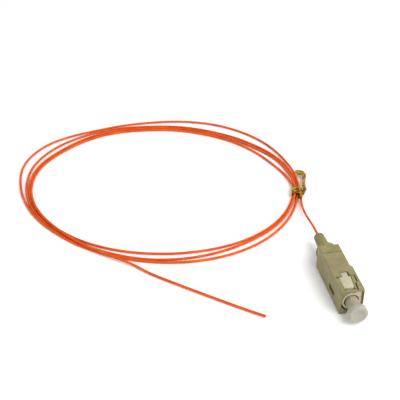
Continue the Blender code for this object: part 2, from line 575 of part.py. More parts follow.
def smooth_route(points, spacing):
    """Evenly spaced points on a smooth curve through a route's points."""
    pts = [Vector(p) for p in points]
    ends = [2 * pts[0] - pts[1]] + pts + [2 * pts[-1] - pts[-2]]
    dense = []
    for a, b, c, d in zip(ends, ends[1:], ends[2:], ends[3:]):
        for i in range(20):
            t = i / 20
            dense.append(0.5 * (2 * b + (c - a) * t + (2 * a - 5 * b + 4 * c - d) * t * t
                                + (3 * b - a - 3 * c + d) * t ** 3))
    dense.append(pts[-1])
    lengths = np.cumsum([0.0] + [(q - p).length for p, q in zip(dense, dense[1:])])
    count = max(2, int(round(lengths[-1] / spacing)) + 1)
    even = np.linspace(0, lengths[-1], count)
    table = np.array([list(p) for p in dense])
    return np.stack([np.interp(even, lengths, table[:, k]) for k in range(3)], axis=1)


def make_fibre_tube(name, start, route, mat):
    """A round tube along a route that is counted from a start, as a curve object with closed ends."""
    points = smooth_route([start + Vector(p) * MM for p in route], ROUTE_SPACING * FIBRE)
    curve = bpy.data.curves.new(name, "CURVE")
    curve.dimensions = "3D"
    curve.bevel_depth = FIBRE / 2
    curve.bevel_resolution = 2
    curve.use_fill_caps = True
    spline = curve.splines.new("POLY")
    spline.points.add(len(points) - 1)
    for point, place in zip(spline.points, points):
        point.co = (*place, 1.0)
    spline.use_smooth = True
    curve.materials.append(mat)
    item = bpy.data.objects.new(name, curve)
    bpy.context.collection.objects.link(item)
    return item


def make_twist_tie(mat):
    """A collar round the bundle with the ribbon's two ends twisted together beside it."""
    strand = coil_strand(0.5)
    spread = degrees(TIE_LENGTH / 2 / COIL_RADIUS)
    sections = [coil_section(TIE_ANGLE + spread * k, strand) for k in (-1, 0, 1)]
    gap = TIE_GAP
    inner = min(s[0] for s in sections) - gap
    outer = max(s[1] for s in sections) + gap
    bottom = min(s[2] for s in sections) - gap
    top = max(s[3] for s in sections) + gap
    middle = coil_point(TIE_ANGLE, (inner + outer) / 2, 0)
    place = Matrix.Translation(middle) @ Matrix.Rotation(radians(TIE_ANGLE + COIL_HEADING), 4, "Z")

    def collar(grow, length):
        half = (outer - inner) / 2 + grow
        floor_z, roof_z = bottom - grow, top + grow
        bevel = TIE_WALL + grow / 2
        bm = prism(corner_outline(-half, half, floor_z, roof_z, bevel, bevel), -length / 2, length / 2)
        bmesh.ops.transform(bm, matrix=place, verts=bm.verts)
        return bm

    tie = add_object("twist_tie", collar(TIE_WALL, TIE_LENGTH), mat, smooth=30)
    cut(tie, ribbon(middle), "twisted_ends", "UNION")
    cut(tie, collar(0, TIE_LENGTH * 2), "tie_opening")
    return tie


def ribbon(start):
    """The twisted ends of the tie: a flat bar that turns about its route."""
    bm = bmesh.new()
    points = [start + Vector(p[:3]) * MM for p in TIE_ROUTE]
    rings = []
    for i, (point, stop) in enumerate(zip(points, TIE_ROUTE)):
        ahead = (points[min(i + 1, len(points) - 1)] - points[max(i - 1, 0)]).normalized()
        across = Vector((0, 0, 1)).cross(ahead).normalized()
        up = ahead.cross(across)
        turn = radians(stop[4])
        flat = across * cos(turn) + up * sin(turn)
        thick = ahead.cross(flat)
        half_w, half_t = stop[3] * MM / 2, TIE_STRIP_THICKNESS / 2
        rings.append([bm.verts.new(point + flat * sx * half_w + thick * sz * half_t)
                      for sx, sz in ((-1, -1), (1, -1), (1, 1), (-1, 1))])
    for p, q in zip(rings, rings[1:]):
        for k in range(4):
            n = (k + 1) % 4
            bm.faces.new((p[k], p[n], q[n], q[k]))
    bm.faces.new(rings[0][::-1])
    bm.faces.new(rings[-1])
    bmesh.ops.triangulate(bm, faces=bm.faces)
    return bm


def main():
    clear_scene()
    beige = material("beige_housing", (0.36, 0.31, 0.17), 0.42)
    cream = material("cream_frame", (0.63, 0.59, 0.43), 0.45)
    white = material("zirconia", (0.86, 0.86, 0.84), 0.15)
    nickel = material("nickel_flange", (0.60, 0.58, 0.54), 0.3, 1.0)
    spring = material("spring_steel", (0.55, 0.55, 0.55), 0.35, 1.0)
    clear_cap = material("clear_cap", (0.62, 0.62, 0.57), 0.35, 0.0, 0.85)
    orange = material("orange_buffer", (0.93, 0.13, 0.01), 0.4)
    gold = material("gold_tie", (0.55, 0.38, 0.06), 0.35, 0.6)
    make_grip_housing(beige)
    make_plug_frame(cream)
    make_ferrule(white)
    make_ferrule_flange(nickel)
    make_spring(spring)
    make_rear_body(beige)
    make_boot(beige)
    make_dust_cap(clear_cap)
    make_fibre_coil(orange)
    make_fibre_tube("fibre_lead", Vector((0, 0, 0)), LEAD_ROUTE, orange)
    coil_end = coil_point(COIL_END, COIL_RADIUS + COIL_PASSES[-1][COIL_END][0] * MM, 0)
    make_fibre_tube("fibre_tail", coil_end, TAIL_ROUTE, orange)
    make_twist_tie(gold)


main()
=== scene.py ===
# %% [markdown]
# Fibre optic pigtail. A square push-pull plug for multimode fibre lies on its side beside a coil of bright
# orange 0.9 mm fibre that a gold twist tie holds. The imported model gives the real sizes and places, and this
# script dresses it: finer shapes for the moulded pieces, the fibre as one smooth cord, and a finish for each
# surface.

# %% Load the fixed frame
from math import cos, pi, radians, sin, tau

import bmesh
import bpy
import numpy as np
from mathutils import Matrix, Vector


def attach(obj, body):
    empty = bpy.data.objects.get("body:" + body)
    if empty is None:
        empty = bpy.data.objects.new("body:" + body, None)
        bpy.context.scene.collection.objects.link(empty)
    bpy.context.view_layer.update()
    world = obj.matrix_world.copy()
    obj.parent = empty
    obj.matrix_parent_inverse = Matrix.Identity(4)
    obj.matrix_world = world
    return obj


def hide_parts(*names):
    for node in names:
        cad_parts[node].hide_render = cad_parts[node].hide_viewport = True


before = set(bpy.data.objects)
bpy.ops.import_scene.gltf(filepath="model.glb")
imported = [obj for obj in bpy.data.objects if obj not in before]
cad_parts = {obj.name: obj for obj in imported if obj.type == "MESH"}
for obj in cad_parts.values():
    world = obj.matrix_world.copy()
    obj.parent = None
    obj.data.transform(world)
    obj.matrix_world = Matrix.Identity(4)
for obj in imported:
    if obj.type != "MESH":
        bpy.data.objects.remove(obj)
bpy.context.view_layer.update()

MM = 0.001

# %% [markdown]
# The camera comes first, because every comparison depends on it. A product shot like this is made with a
# longish lens from above. The lens and the place were worked out from the housing's corners, whose real sizes
# are known, so the camera is set by numbers here and not by eye.

# %% Camera
CAMERA_LENS = 74.25
CAMERA_HEIGHT = 177.0 * MM
CAMERA_PITCH = 33.3
CAMERA_HEADING = 10.05
CAMERA_AWAY = (46.2 * MM, 215.4 * MM)      # from the camera to the plug, across and along its view

camera_data = bpy.data.cameras.new("camera")
camera_data.lens = CAMERA_LENS
camera_data.clip_start = 0.01
camera_data.clip_end = 10.0
camera = bpy.data.objects.new("camera", camera_data)
bpy.context.scene.collection.objects.link(camera)
heading = radians(CAMERA_HEADING)
across, along = CAMERA_AWAY
camera.location = (-across * cos(heading) - along * sin(heading),
                   across * sin(heading) - along * cos(heading), CAMERA_HEIGHT)
camera.rotation_euler = (radians(90 - CAMERA_PITCH), 0, -heading)
bpy.context.scene.camera = camera
print("camera at", [round(c / MM, 1) for c in camera.location])

# %% [markdown]
# The photograph has a white ground that is almost burnt out, a dim left side on the plug and faint soft
# shadows that fall to the left. A white world gives the even fill. One large soft light stands to the right,
# in front and above, so the tops and the mating end are bright and the left side isn't. World and light
# together bring the near-white paper of the floor up to white, so that only the soft shadows show on it. The
# plain view transform keeps the colours as bright as they are written.

# %% Floor and light
def to_linear(hex_colour, alpha=1.0):
    """A colour written as sRGB hex, as the linear values that shaders use."""
    channels = [int(hex_colour[i:i + 2], 16) / 255 for i in (1, 3, 5)]
    linear = [c / 12.92 if c <= 0.04045 else ((c + 0.055) / 1.055) ** 2.4 for c in channels]
    return (*linear, alpha)


def add_node(tree, kind, inputs=None, **settings):
    """Adds a shader node with its settings, and fills its inputs with values or other nodes' outputs."""
    node = tree.nodes.new(kind)
    for name, value in settings.items():
        setattr(node, name, value)
    for name, value in (inputs or {}).items():
        socket = node.inputs[name]
        if isinstance(value, bpy.types.NodeSocket):
            tree.links.new(value, socket)
        else:
            socket.default_value = value
    return node


WORLD_STRENGTH = 0.86
LAMP_PLACE = (250 * MM, -330 * MM, 500 * MM)
LAMP_AIM = (-30 * MM, 40 * MM, 0)
LAMP_SIZE = 560 * MM
LAMP_POWER = 4.0
FLOOR_SIZE = 4.0                        # in metres, wider than the photograph's view
FLOOR_DROP = 0.2 * MM                   # keeps the floor clear of the undersides
PAPER_WHITE, PAPER_ROUGHNESS, PAPER_SHINE = "#f4f4f4", 0.9, 0.2

bpy.context.scene.view_settings.view_transform = "Standard"
world = bpy.data.worlds.new("studio")
world.use_nodes = True
bpy.context.scene.world = world
background = world.node_tree.nodes.get("Background") or add_node(world.node_tree, "ShaderNodeBackground")
background.inputs["Color"].default_value = to_linear("#ffffff")
background.inputs["Strength"].default_value = WORLD_STRENGTH

lamp_data = bpy.data.lights.new("soft_box", "AREA")
lamp_data.shape = "DISK"
lamp_data.size = LAMP_SIZE
lamp_data.energy = LAMP_POWER
lamp = bpy.data.objects.new("soft_box", lamp_data)
lamp.location = LAMP_PLACE
aim = Vector(LAMP_AIM) - Vector(LAMP_PLACE)
lamp.rotation_euler = aim.to_track_quat("-Z", "Y").to_euler()
bpy.context.scene.collection.objects.link(lamp)

bpy.ops.mesh.primitive_plane_add(size=FLOOR_SIZE, location=(0, 0, -FLOOR_DROP))
floor = bpy.context.object
floor.name = "floor"
paper = bpy.data.materials.new("white_paper_backdrop")
paper.use_nodes = True
paper_inputs = paper.node_tree.nodes["Principled BSDF"].inputs
paper_inputs["Base Color"].default_value = to_linear(PAPER_WHITE)
paper_inputs["Roughness"].default_value = PAPER_ROUGHNESS
paper_inputs["Specular IOR Level"].default_value = PAPER_SHINE
floor.data.materials.append(paper)
print("floor and one soft light")

# %% [markdown]
# A few helpers serve all the solid pieces. Each starts as a simple shape: a box, an outline that is pushed
# along an axis, or a profile that is spun about the plug's axis, as moulds and lathes make them. Exact
# Booleans cut the windows, and narrow bevels round the edges that catch the light, because no moulded edge is
# perfectly sharp.

# %% Helpers for shapes
AXIS_X = 0.3           # the ferrule's axis, in mm
AXIS_Z = 4.5
TURN_STEPS = 72        # sides of a turned piece
SHARP_ANGLE = 40       # degrees, over which an edge is rounded


def block(x0, x1, y0, y1, z0, z1):
    """A box between two corners in mm."""
    bm = bmesh.new()
    size = Vector((x1 - x0, y1 - y0, z1 - z0)) * MM
    middle = Vector((x0 + x1, y0 + y1, z0 + z1)) * MM / 2
    bmesh.ops.create_cube(bm, size=1.0, matrix=Matrix.Translation(middle) @ Matrix.Diagonal((*size, 1.0)))
    return bm


def prism(outline, start, end, axis):
    """Pushes a closed outline in mm along X, Y or Z; its points are in the other two axes, in their order."""
    bm = bmesh.new()
    k = "XYZ".index(axis)
    corners = []
    for point in outline:
        place = list(point)
        place.insert(k, start)
        corners.append(bm.verts.new(Vector(place) * MM))
    moved = bmesh.ops.extrude_face_region(bm, geom=[bm.faces.new(corners)])["geom"]
    step = Vector((0, 0, 0))
    step[k] = (end - start) * MM
    bmesh.ops.translate(bm, vec=step, verts=[v for v in moved if isinstance(v, bmesh.types.BMVert)])
    bmesh.ops.recalc_face_normals(bm, faces=bm.faces)
    return bm


def turned(profile):
    """Spins (y, radius) points in mm about the plug's axis; a start off the axis makes a ring."""
    bm = bmesh.new()
    points = [bm.verts.new(Vector((AXIS_X + radius, y, AXIS_Z)) * MM) for y, radius in profile]
    edges = [bm.edges.new(pair) for pair in zip(points, points[1:])]
    if profile[0][1] > 0:
        edges.append(bm.edges.new((points[-1], points[0])))
    bmesh.ops.spin(bm, geom=points + edges, cent=Vector((AXIS_X, 0, AXIS_Z)) * MM, axis=(0, 1, 0), angle=tau,
                   steps=TURN_STEPS, use_merge=True)
    bmesh.ops.remove_doubles(bm, verts=bm.verts, dist=1e-7)
    bmesh.ops.recalc_face_normals(bm, faces=bm.faces)
    return bm


def carve(body, cutter, operation="DIFFERENCE", creased=False):
    """Cuts one bmesh from another, or joins them, exactly; creased is for strips that touch themselves."""
    items = []
    for bm in (body, cutter):
        bmesh.ops.recalc_face_normals(bm, faces=bm.faces)
        item = bpy.data.objects.new("carving", bpy.data.meshes.new("carving"))
        bm.to_mesh(item.data)
        bm.free()
        bpy.context.scene.collection.objects.link(item)
        items.append(item)
    modifier = items[0].modifiers.new("carve", "BOOLEAN")
    modifier.object = items[1]
    modifier.operation = operation
    modifier.solver = "EXACT"
    modifier.use_self = creased
    made = bpy.data.meshes.new_from_object(items[0].evaluated_get(bpy.context.evaluated_depsgraph_get()))
    result = bmesh.new()
    result.from_mesh(made)
    for mesh in (made, items[0].data, items[1].data):
        bpy.data.meshes.remove(mesh)
    return result


def soften(bm, width):
    """Rounds every sharp edge by a width in mm."""
    edges = [e for e in bm.edges if e.is_manifold and e.calc_face_angle(0) > radians(SHARP_ANGLE)]
    bmesh.ops.bevel(bm, geom=edges, offset=width * MM, offset_type="OFFSET", segments=2, profile=0.5,
                    affect="EDGES", clamp_overlap=True, material=-1)
    return bm


def finish_piece(name, bm, material, body, nodes=(), smooth=35):
    """Makes the piece's object, which rides on a body and stands for its CAD nodes."""
    mesh = bpy.data.meshes.new(name)
    bm.to_mesh(mesh)
    bm.free()
    mesh.shade_smooth()
    mesh.set_sharp_from_angle(angle=radians(smooth))
    mesh.materials.append(material)
    piece = bpy.data.objects.new(name, mesh)
    bpy.context.scene.collection.objects.link(piece)
    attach(piece, body)
    if nodes:
        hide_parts(*nodes)
    low, high = (Vector(corner) / MM for corner in (np.min([v.co for v in mesh.vertices], axis=0),
                                                    np.max([v.co for v in mesh.vertices], axis=0)))
    print(f"{name}: {len(mesh.polygons)} faces,", " x ".join(f"{c:.1f}" for c in high - low), "mm")
    return piece

# %% [markdown]
# Every finish is a small node tree on Object coordinates, in metres, so a pattern's scale is one over its
# real size. Mould texture, film lay and grime are far finer than a pixel here, so they are drawn as coarse as
# needed to break up the highlights.

# %% Helpers for finishes
def start_finish(name, colour, roughness, metallic=0.0, **sockets):
    """A material with its shader set, the node tree, the shader and the piece's Object coordinates."""
    material = bpy.data.materials.new(name)
    material.use_nodes = True
    tree = material.node_tree
    shader = tree.nodes["Principled BSDF"]
    values = {"Base Color": to_linear(colour), "Roughness": roughness, "Metallic": metallic, **sockets}
    for socket, value in values.items():
        shader.inputs[socket].default_value = value
    return material, tree, shader, add_node(tree, "ShaderNodeTexCoord").outputs["Object"]


def grain(tree, place, size, detail=3.0, roughness=0.55, stretch=(1, 1, 1)):
    """Noise whose features are about size mm across, and longer where stretch is under 1."""
    mapped = add_node(tree, "ShaderNodeMapping", {"Vector": place, "Scale": stretch}).outputs["Vector"]
    inputs = {"Vector": mapped, "Scale": 1 / (size * MM), "Detail": detail, "Roughness": roughness}
    return add_node(tree, "ShaderNodeTexNoise", inputs).outputs["Fac"]


def spread(tree, factor, low, high, edges=(0.3, 0.7)):
    """Turns a factor into a value between low and high."""
    inputs = {"Value": factor, "From Min": edges[0], "From Max": edges[1], "To Min": low, "To Max": high}
    return add_node(tree, "ShaderNodeMapRange", inputs).outputs["Result"]


def tint(tree, shader, factor, *colours):
    """Colours the surface along a ramp of evenly spaced hex colours."""
    ramp = add_node(tree, "ShaderNodeValToRGB", {"Fac": factor})
    stops = ramp.color_ramp.elements
    for i, colour in enumerate(colours):
        at = i / (len(colours) - 1)
        stop = stops[i] if i < len(stops) and i < 2 else stops.new(at)
        stop.position = at
        stop.color = to_linear(colour)
    tree.links.new(ramp.outputs["Color"], shader.inputs["Base Color"])


def bumps(tree, shader, height, depth, strength=0.5):
    """Raises the surface by a factor times a depth in mm."""
    bump = add_node(tree, "ShaderNodeBump", {"Height": height, "Distance": depth * MM, "Strength": strength})
    tree.links.new(bump.outputs["Normal"], shader.inputs["Normal"])


# %% [markdown]
# The housing and the rear body are moulded from PBT, a slightly waxy engineering plastic, in the beige that
# marks multimode fibre. The boot is softer and has nearly the same colour. Real PBT has a fine spark-eroded
# skin and a soft, broad highlight. The colour wanders a little between olive and tan, as in the photograph,
# because thin walls and weld lines take the light unevenly.

# %% Finish: moulded beige PBT
PLASTIC_IOR, PLASTIC_SHINE = 1.5, 0.35
CLOUD, PATCH, SKIN = 3.5, 1.4, 0.25     # sizes in mm of the clouds of colour, the duller patches and the skin
SKIN_DEPTH, SKIN_STRENGTH = 0.02, 0.35


def moulded_plastic(name, shades, roughness):
    """A moulded thermoplastic: cloudy colour, a broad highlight and a fine eroded skin."""
    material, tree, shader, place = start_finish(name, shades[1], roughness, IOR=PLASTIC_IOR)
    shader.inputs["Specular IOR Level"].default_value = PLASTIC_SHINE
    cloud = grain(tree, place, CLOUD, detail=4.0)
    tint(tree, shader, spread(tree, cloud, 0.0, 1.0), *shades)
    tree.links.new(spread(tree, grain(tree, place, PATCH), roughness - 0.07, roughness + 0.08),
                   shader.inputs["Roughness"])
    bumps(tree, shader, grain(tree, place, SKIN, detail=2.0), SKIN_DEPTH, SKIN_STRENGTH)
    return material


beige = moulded_plastic("beige_pbt_injection_moulded", ("#776f48", "#817950", "#898157"), 0.5)
# the side recess's floor gets a darker plastic: painted shade, for the shade that falls in the recess
recess_shade_plastic = moulded_plastic("beige_pbt_painted_recess_shade", ("#554d2c", "#5f5733", "#6b633e"), 0.6)
# the boot is a softer plastic, a little darker and duller than the housing
boot_beige = moulded_plastic("beige_elastomer_moulded", ("#736b41", "#7d754a", "#857d50"), 0.58)

# %% [markdown]
# The inner frame is the same kind of plastic in natural cream, a little glossier where it slides in the
# housing.

# %% Finish: moulded cream PBT
cream = moulded_plastic("cream_pbt_injection_moulded", ("#a69f85", "#b0a98f", "#b9b298"), 0.42)

# %% [markdown]
# The ferrule is ground zirconia: dense white ceramic that shines like porcelain, with grinding lines round it
# that only break up the highlight.

# %% Finish: ground zirconia
zirconia, tree, shader, place = start_finish("zirconia_ground", "#f1f0ec", 0.12, IOR=2.15)
rings = grain(tree, place, 0.12, stretch=(0.15, 1, 0.15))
tree.links.new(spread(tree, rings, 0.08, 0.2), shader.inputs["Roughness"])
tint(tree, shader, spread(tree, rings, 0, 1), "#ebeae5", "#f6f5f2")

# %% [markdown]
# The ferrule's holder is turned brass with nickel plate, and the spring behind it is bright drawn steel wire.
# Fine rings along the plug's axis are the lathe's feed marks.

# %% Finish: nickel plate and spring wire
nickel, tree, shader, place = start_finish("nickel_plate_turned", "#b9b3a6", 0.26, 1.0)
feed = grain(tree, place, 0.15, stretch=(0.1, 1, 0.1))
tree.links.new(spread(tree, feed, 0.2, 0.36), shader.inputs["Roughness"])
bumps(tree, shader, feed, 0.01, 0.4)

spring_wire, tree, shader, place = start_finish("spring_steel_drawn", "#8d8c8a", 0.3, 1.0)
tree.links.new(spread(tree, grain(tree, place, 0.4), 0.25, 0.4), shader.inputs["Roughness"])

# %% [markdown]
# The dust cap is natural low-density polyethylene, milky and a bit see-through. Light goes in and comes out
# again some way off, so it has no hard shading. Subsurface scattering gives that glow, and it survives an
# export better than deep refraction does. The tube's wall is thin. Its colour runs from grey at the thick head
# to a lighter, warmer tone along the tube, which is painted light: it lifts the tube out of the shade it lies
# in at the housing's mouth, and stands for the ferrule and the beige plug showing through the thin wall.

# %% Finish: milky polyethylene
PAINTED_LIGHT_SPAN = (-17.0 * MM, -13.5 * MM)    # along Y: the end of the thick head, and the tube with its full tone
milky, tree, shader, place = start_finish("milky_polyethylene_moulded", "#a09b8a", 0.36, IOR=1.51)
shader.inputs["Subsurface Weight"].default_value = 0.6
shader.inputs["Subsurface Radius"].default_value = (1.0, 0.9, 0.75)
shader.inputs["Subsurface Scale"].default_value = 0.8 * MM
along_cap = add_node(tree, "ShaderNodeSeparateXYZ", {"Vector": place}).outputs["Y"]
painted_tube_light = spread(tree, along_cap, 0, 1, edges=PAINTED_LIGHT_SPAN)
wander = spread(tree, grain(tree, place, 2.2), -0.12, 0.12)
tube_light_and_tone = add_node(tree, "ShaderNodeMath", {0: painted_tube_light, 1: wander}, operation="ADD").outputs["Value"]
# the lighter, warmer stops along the tube are painted light, with a little random tone added
tint(tree, shader, tube_light_and_tone, "#9b9789", "#a19b88", "#b1a88a")
bumps(tree, shader, grain(tree, place, 0.5), 0.02, 0.25)

# %% [markdown]
# The fibre's tight buffer is extruded round the glass in fluorescent orange. Extruded plastic is smooth with
# a slight wave, so it has a narrow highlight along its length. Some of the light passes through the thin
# skin, so its shade stays warm red and never grey.

# %% Finish: extruded orange buffer
orange, tree, shader, place = start_finish("orange_buffer_extruded", "#d05006", 0.5, IOR=1.5)
shader.inputs["Specular IOR Level"].default_value = 0.15
shader.inputs["Subsurface Weight"].default_value = 0.08
shader.inputs["Subsurface Radius"].default_value = (1.0, 0.4, 0.15)
shader.inputs["Subsurface Scale"].default_value = 0.3 * MM
tint(tree, shader, spread(tree, grain(tree, place, 5.0, detail=5.0), 0, 1), "#c24604", "#d05006", "#dc5c0c")
tree.links.new(spread(tree, grain(tree, place, 1.2), 0.42, 0.56), shader.inputs["Roughness"])
bumps(tree, shader, grain(tree, place, 0.9), 0.03, 0.3)

# %% [markdown]
# The twist tie is a thin plastic film with a sprayed gold metal layer, folded over a wire. The film creases
# when it is twisted, so its shine is broken into small bright and dark patches. These patches are painted
# reflections in the base colour, on the same pattern that raises the creases.

# %% Finish: gold film
gold, tree, shader, place = start_finish("gold_film_metallised", "#b8862a", 0.3, 0.85)
creases_and_painted_glints = grain(tree, place, 1.5, detail=4.0, roughness=0.7)
# the ramp's dark and bright golds are painted reflections, laid on the creases' pattern
tint(tree, shader, spread(tree, creases_and_painted_glints, 0, 1, edges=(0.4, 0.6)), "#5f420a", "#a97a14", "#d9a52e")
tree.links.new(spread(tree, grain(tree, place, 0.4), 0.22, 0.46), shader.inputs["Roughness"])
bumps(tree, shader, creases_and_painted_glints, 0.12, 0.6)
print("finishes:", ", ".join(m.name for m in (beige, recess_shade_plastic, boot_beige, cream, zirconia, nickel, spring_wire,
                                                milky, orange, gold)))

# %% [markdown]
# The fibre is one piece from the boot to its cut end, so it is one curve. Its route is written as the hand
# would lay it: a straight lead, nearly four passes round the coil, each with its own distance from the coil's
# mean radius, and a tail. Numpy rounds the passes, and the curve gets a round section with closed ends.

# %% Fibre route
FIBRE = 0.9 * MM                        # outer diameter of the buffer
COIL_RADIUS = 52.0 * MM                 # the mean radius that the passes are measured from
COIL_JOIN = (2.1 * MM, 51.8 * MM)       # where the lead meets the coil
COIL_HEADING = -1.25                    # degrees by which the whole coil turns about that place
COIL_START, COIL_END, TIE_ANGLE = -24.0, 252.0, -15.0
TIE_SPREAD, TIE_LIFT = 6.0, 0.62 * MM   # degrees round the tie over which it lifts the strands, and how far
COIL_SMOOTHING = 5.0                    # degrees over which the passes are rounded
STRAND_STEP = 1.0                       # degrees between two points of the coil
ROUTE_STEPS = 20                        # points between two places of a route, before they are spaced evenly
# each pass as angle: (mm outside the mean radius, layer), where a layer is one fibre thick
COIL_PASSES = (
    {COIL_START: (5.4, 0.2), -20: (4.3, 0.6), TIE_ANGLE: (3.3, 1.15), -5: (3.2, 0.6), 10: (2.5, 0),
     30: (2.8, 0), 55: (2.2, 0), 90: (-0.9, 0), 115: (0.2, 0), 140: (6.9, 0), 157: (7.1, 0),
     172: (3.9, 0), 190: (1.2, 0), 215: (-1.4, 0), 240: (-1.3, 0), 260: (0.3, 0), 280: (2.4, 0),
     300: (3.9, 0), 320: (4.1, 0), 335: (3.6, 0)},
    {TIE_ANGLE: (3.2, 0), -5: (2.4, 0), 10: (1.0, 0), 30: (-2.4, 0), 55: (-4.7, 0), 90: (-4.5, 0),
     115: (-1.0, 0), 140: (1.8, 0), 157: (2.6, 0), 172: (1.4, 0), 190: (0.2, 0), 215: (-2.35, 0),
     240: (-2.3, 0), 260: (-0.8, 0), 280: (-0.1, 0), 300: (0.5, 0), 320: (2.3, 0.25), 335: (2.45, 0.95)},
    {TIE_ANGLE: (2.3, 1.12), -5: (1.2, 0.3), 10: (0.0, 0), 30: (-4.3, 0), 55: (-6.5, 0), 90: (-6.2, 0),
     115: (-2.9, 0), 140: (-1.9, 0), 157: (0.3, 0), 172: (0.4, 0), 190: (-0.8, 0), 215: (-3.3, 0),
     240: (-4.4, 0), 260: (-4.5, 0), 280: (-3.2, 0), 300: (-0.8, 0), 320: (1.1, 0), 335: (1.5, 0)},
    {TIE_ANGLE: (2.2, 0), -5: (-0.1, 0), 10: (-4.0, 0), 30: (-6.3, 0), 55: (-8.2, 0), 90: (-7.8, 0),
     115: (-4.7, 0), 140: (-3.2, 0), 157: (-0.9, 0), 172: (-0.7, 0.1), 183: (-1.1, 0.75),
     190: (-1.3, 1.1), 200: (-1.8, 1.12), 215: (-2.6, 1.08), 240: (-0.9, 1.1), COIL_END: (2.0, 0.4)},
)
LEAD_ROUTE = (
    (0.3, 24.7, 4.5), (0.3, 27.3, 4.5), (0.31, 30.2, 4.35), (0.38, 33.6, 3.85), (0.55, 37.4, 3.0),
    (0.86, 41.7, 2.0), (1.25, 46.0, 1.3), (1.68, 49.5, 0.95), (2.0, 51.5, 0.85),
)
# steps from the coil's last point in X and Y, with the height
TAIL_ROUTE = (
    (0.5, -0.4, 0.8), (3.5, -3.6, 0.6), (6.5, -6.9, 0.5), (9.8, -9.9, 0.5), (15.9, -15.2, 0.5),
    (21.8, -20.2, 0.5), (27.5, -25.0, 0.5), (33.1, -29.6, 0.5), (37.1, -32.8, 0.5), (40.4, -35.3, 0.5),
)
BOOT_MOUTH = (0.3, 22.6, 4.5)      # the fibre starts inside the boot


def coil_strand(step):
    """Angle in degrees, radius and centre height of every point of the fibre round the coil."""
    stations = []
    for turn, stops in enumerate(COIL_PASSES):
        stations += [(turn * 360 + angle, out, layer) for angle, (out, layer) in stops.items()]
    angles, radii, layers = (np.array(column) for column in zip(*stations))
    fine = np.arange(angles[0], angles[-1] + step / 2, step)
    reach = int(round(3 * COIL_SMOOTHING / step))
    kernel = np.exp(-0.5 * (np.arange(-reach, reach + 1) * step / COIL_SMOOTHING) ** 2)
    kernel /= kernel.sum()
    padded = fine[0] + np.arange(-reach, len(fine) + reach) * step
    smooth = []
    for values in (COIL_RADIUS + radii * MM, layers):
        first = (values[1] - values[0]) / (angles[1] - angles[0])
        last = (values[-1] - values[-2]) / (angles[-1] - angles[-2])
        line = np.interp(padded, angles, values)
        line = np.where(padded < angles[0], values[0] + first * (padded - angles[0]), line)
        line = np.where(padded > angles[-1], values[-1] + last * (padded - angles[-1]), line)
        smooth.append(np.convolve(line, kernel, mode="valid"))
    near_tie = np.exp(-0.5 * (((fine - TIE_ANGLE + 180) % 360 - 180) / TIE_SPREAD) ** 2)
    return fine, smooth[0], FIBRE / 2 + smooth[1] * FIBRE + near_tie * TIE_LIFT


def coil_point(angle, radius, height):
    """The place at an angle, a radius and a height round the coil, whose start lies at the lead's end."""
    a, first = radians(angle + COIL_HEADING), radians(COIL_START + COIL_HEADING)
    reach = COIL_RADIUS + COIL_PASSES[0][COIL_START][0] * MM
    return Vector((COIL_JOIN[0] - reach * cos(first) + radius * cos(a),
                   COIL_JOIN[1] - reach * sin(first) + radius * sin(a), height))


def smooth_route(points, spacing):
    """Evenly spaced points on a smooth curve through a route's points."""
    ends = [2 * points[0] - points[1]] + points + [2 * points[-1] - points[-2]]
    dense = []
    for a, b, c, d in zip(ends, ends[1:], ends[2:], ends[3:]):
        for i in range(ROUTE_STEPS):
            t = i / ROUTE_STEPS
            dense.append(0.5 * (2 * b + (c - a) * t + (2 * a - 5 * b + 4 * c - d) * t * t
                                + (3 * b - a - 3 * c + d) * t ** 3))
    dense.append(points[-1])
    lengths = np.cumsum([0.0] + [(q - p).length for p, q in zip(dense, dense[1:])])
    even = np.linspace(0, lengths[-1], max(2, int(round(lengths[-1] / spacing)) + 1))
    table = np.array([list(p) for p in dense])
    return np.stack([np.interp(even, lengths, table[:, k]) for k in range(3)], axis=1)


# %% [markdown]
# The curve runs through three stretches in turn: the lead out of the boot, the passes round the coil, and the
# tail to the cut end. The joins are rounded over a few points, so that no kink catches the light. A curve
# with a round section of the buffer's diameter suits a fibre, because the buffer is equally thick all along.
# The cord's length is then printed.

# %% Fibre cord
JOIN_SMOOTHING = 3             # points on each side over which the joins of the route are rounded
fine, radii, heights = coil_strand(STRAND_STEP)
turns = [coil_point(*point) for point in zip(fine, radii, heights)]
lead = [Vector(p) * MM for p in (BOOT_MOUTH, *LEAD_ROUTE)]
coil_end = coil_point(COIL_END, COIL_RADIUS + COIL_PASSES[-1][COIL_END][0] * MM, 0)
tail = [coil_end + Vector(p) * MM for p in TAIL_ROUTE]
spacing = COIL_RADIUS * radians(STRAND_STEP)
route = np.concatenate([smooth_route(lead, spacing), np.array([list(p) for p in turns]),
                        smooth_route(tail, spacing)])
padded = np.concatenate([route[:1].repeat(JOIN_SMOOTHING, 0), route, route[-1:].repeat(JOIN_SMOOTHING, 0)])
rounded = np.stack([np.convolve(padded[:, k], np.ones(2 * JOIN_SMOOTHING + 1) / (2 * JOIN_SMOOTHING + 1),
                                mode="valid") for k in range(3)], axis=1)
route[JOIN_SMOOTHING:-JOIN_SMOOTHING] = rounded[JOIN_SMOOTHING:-JOIN_SMOOTHING]

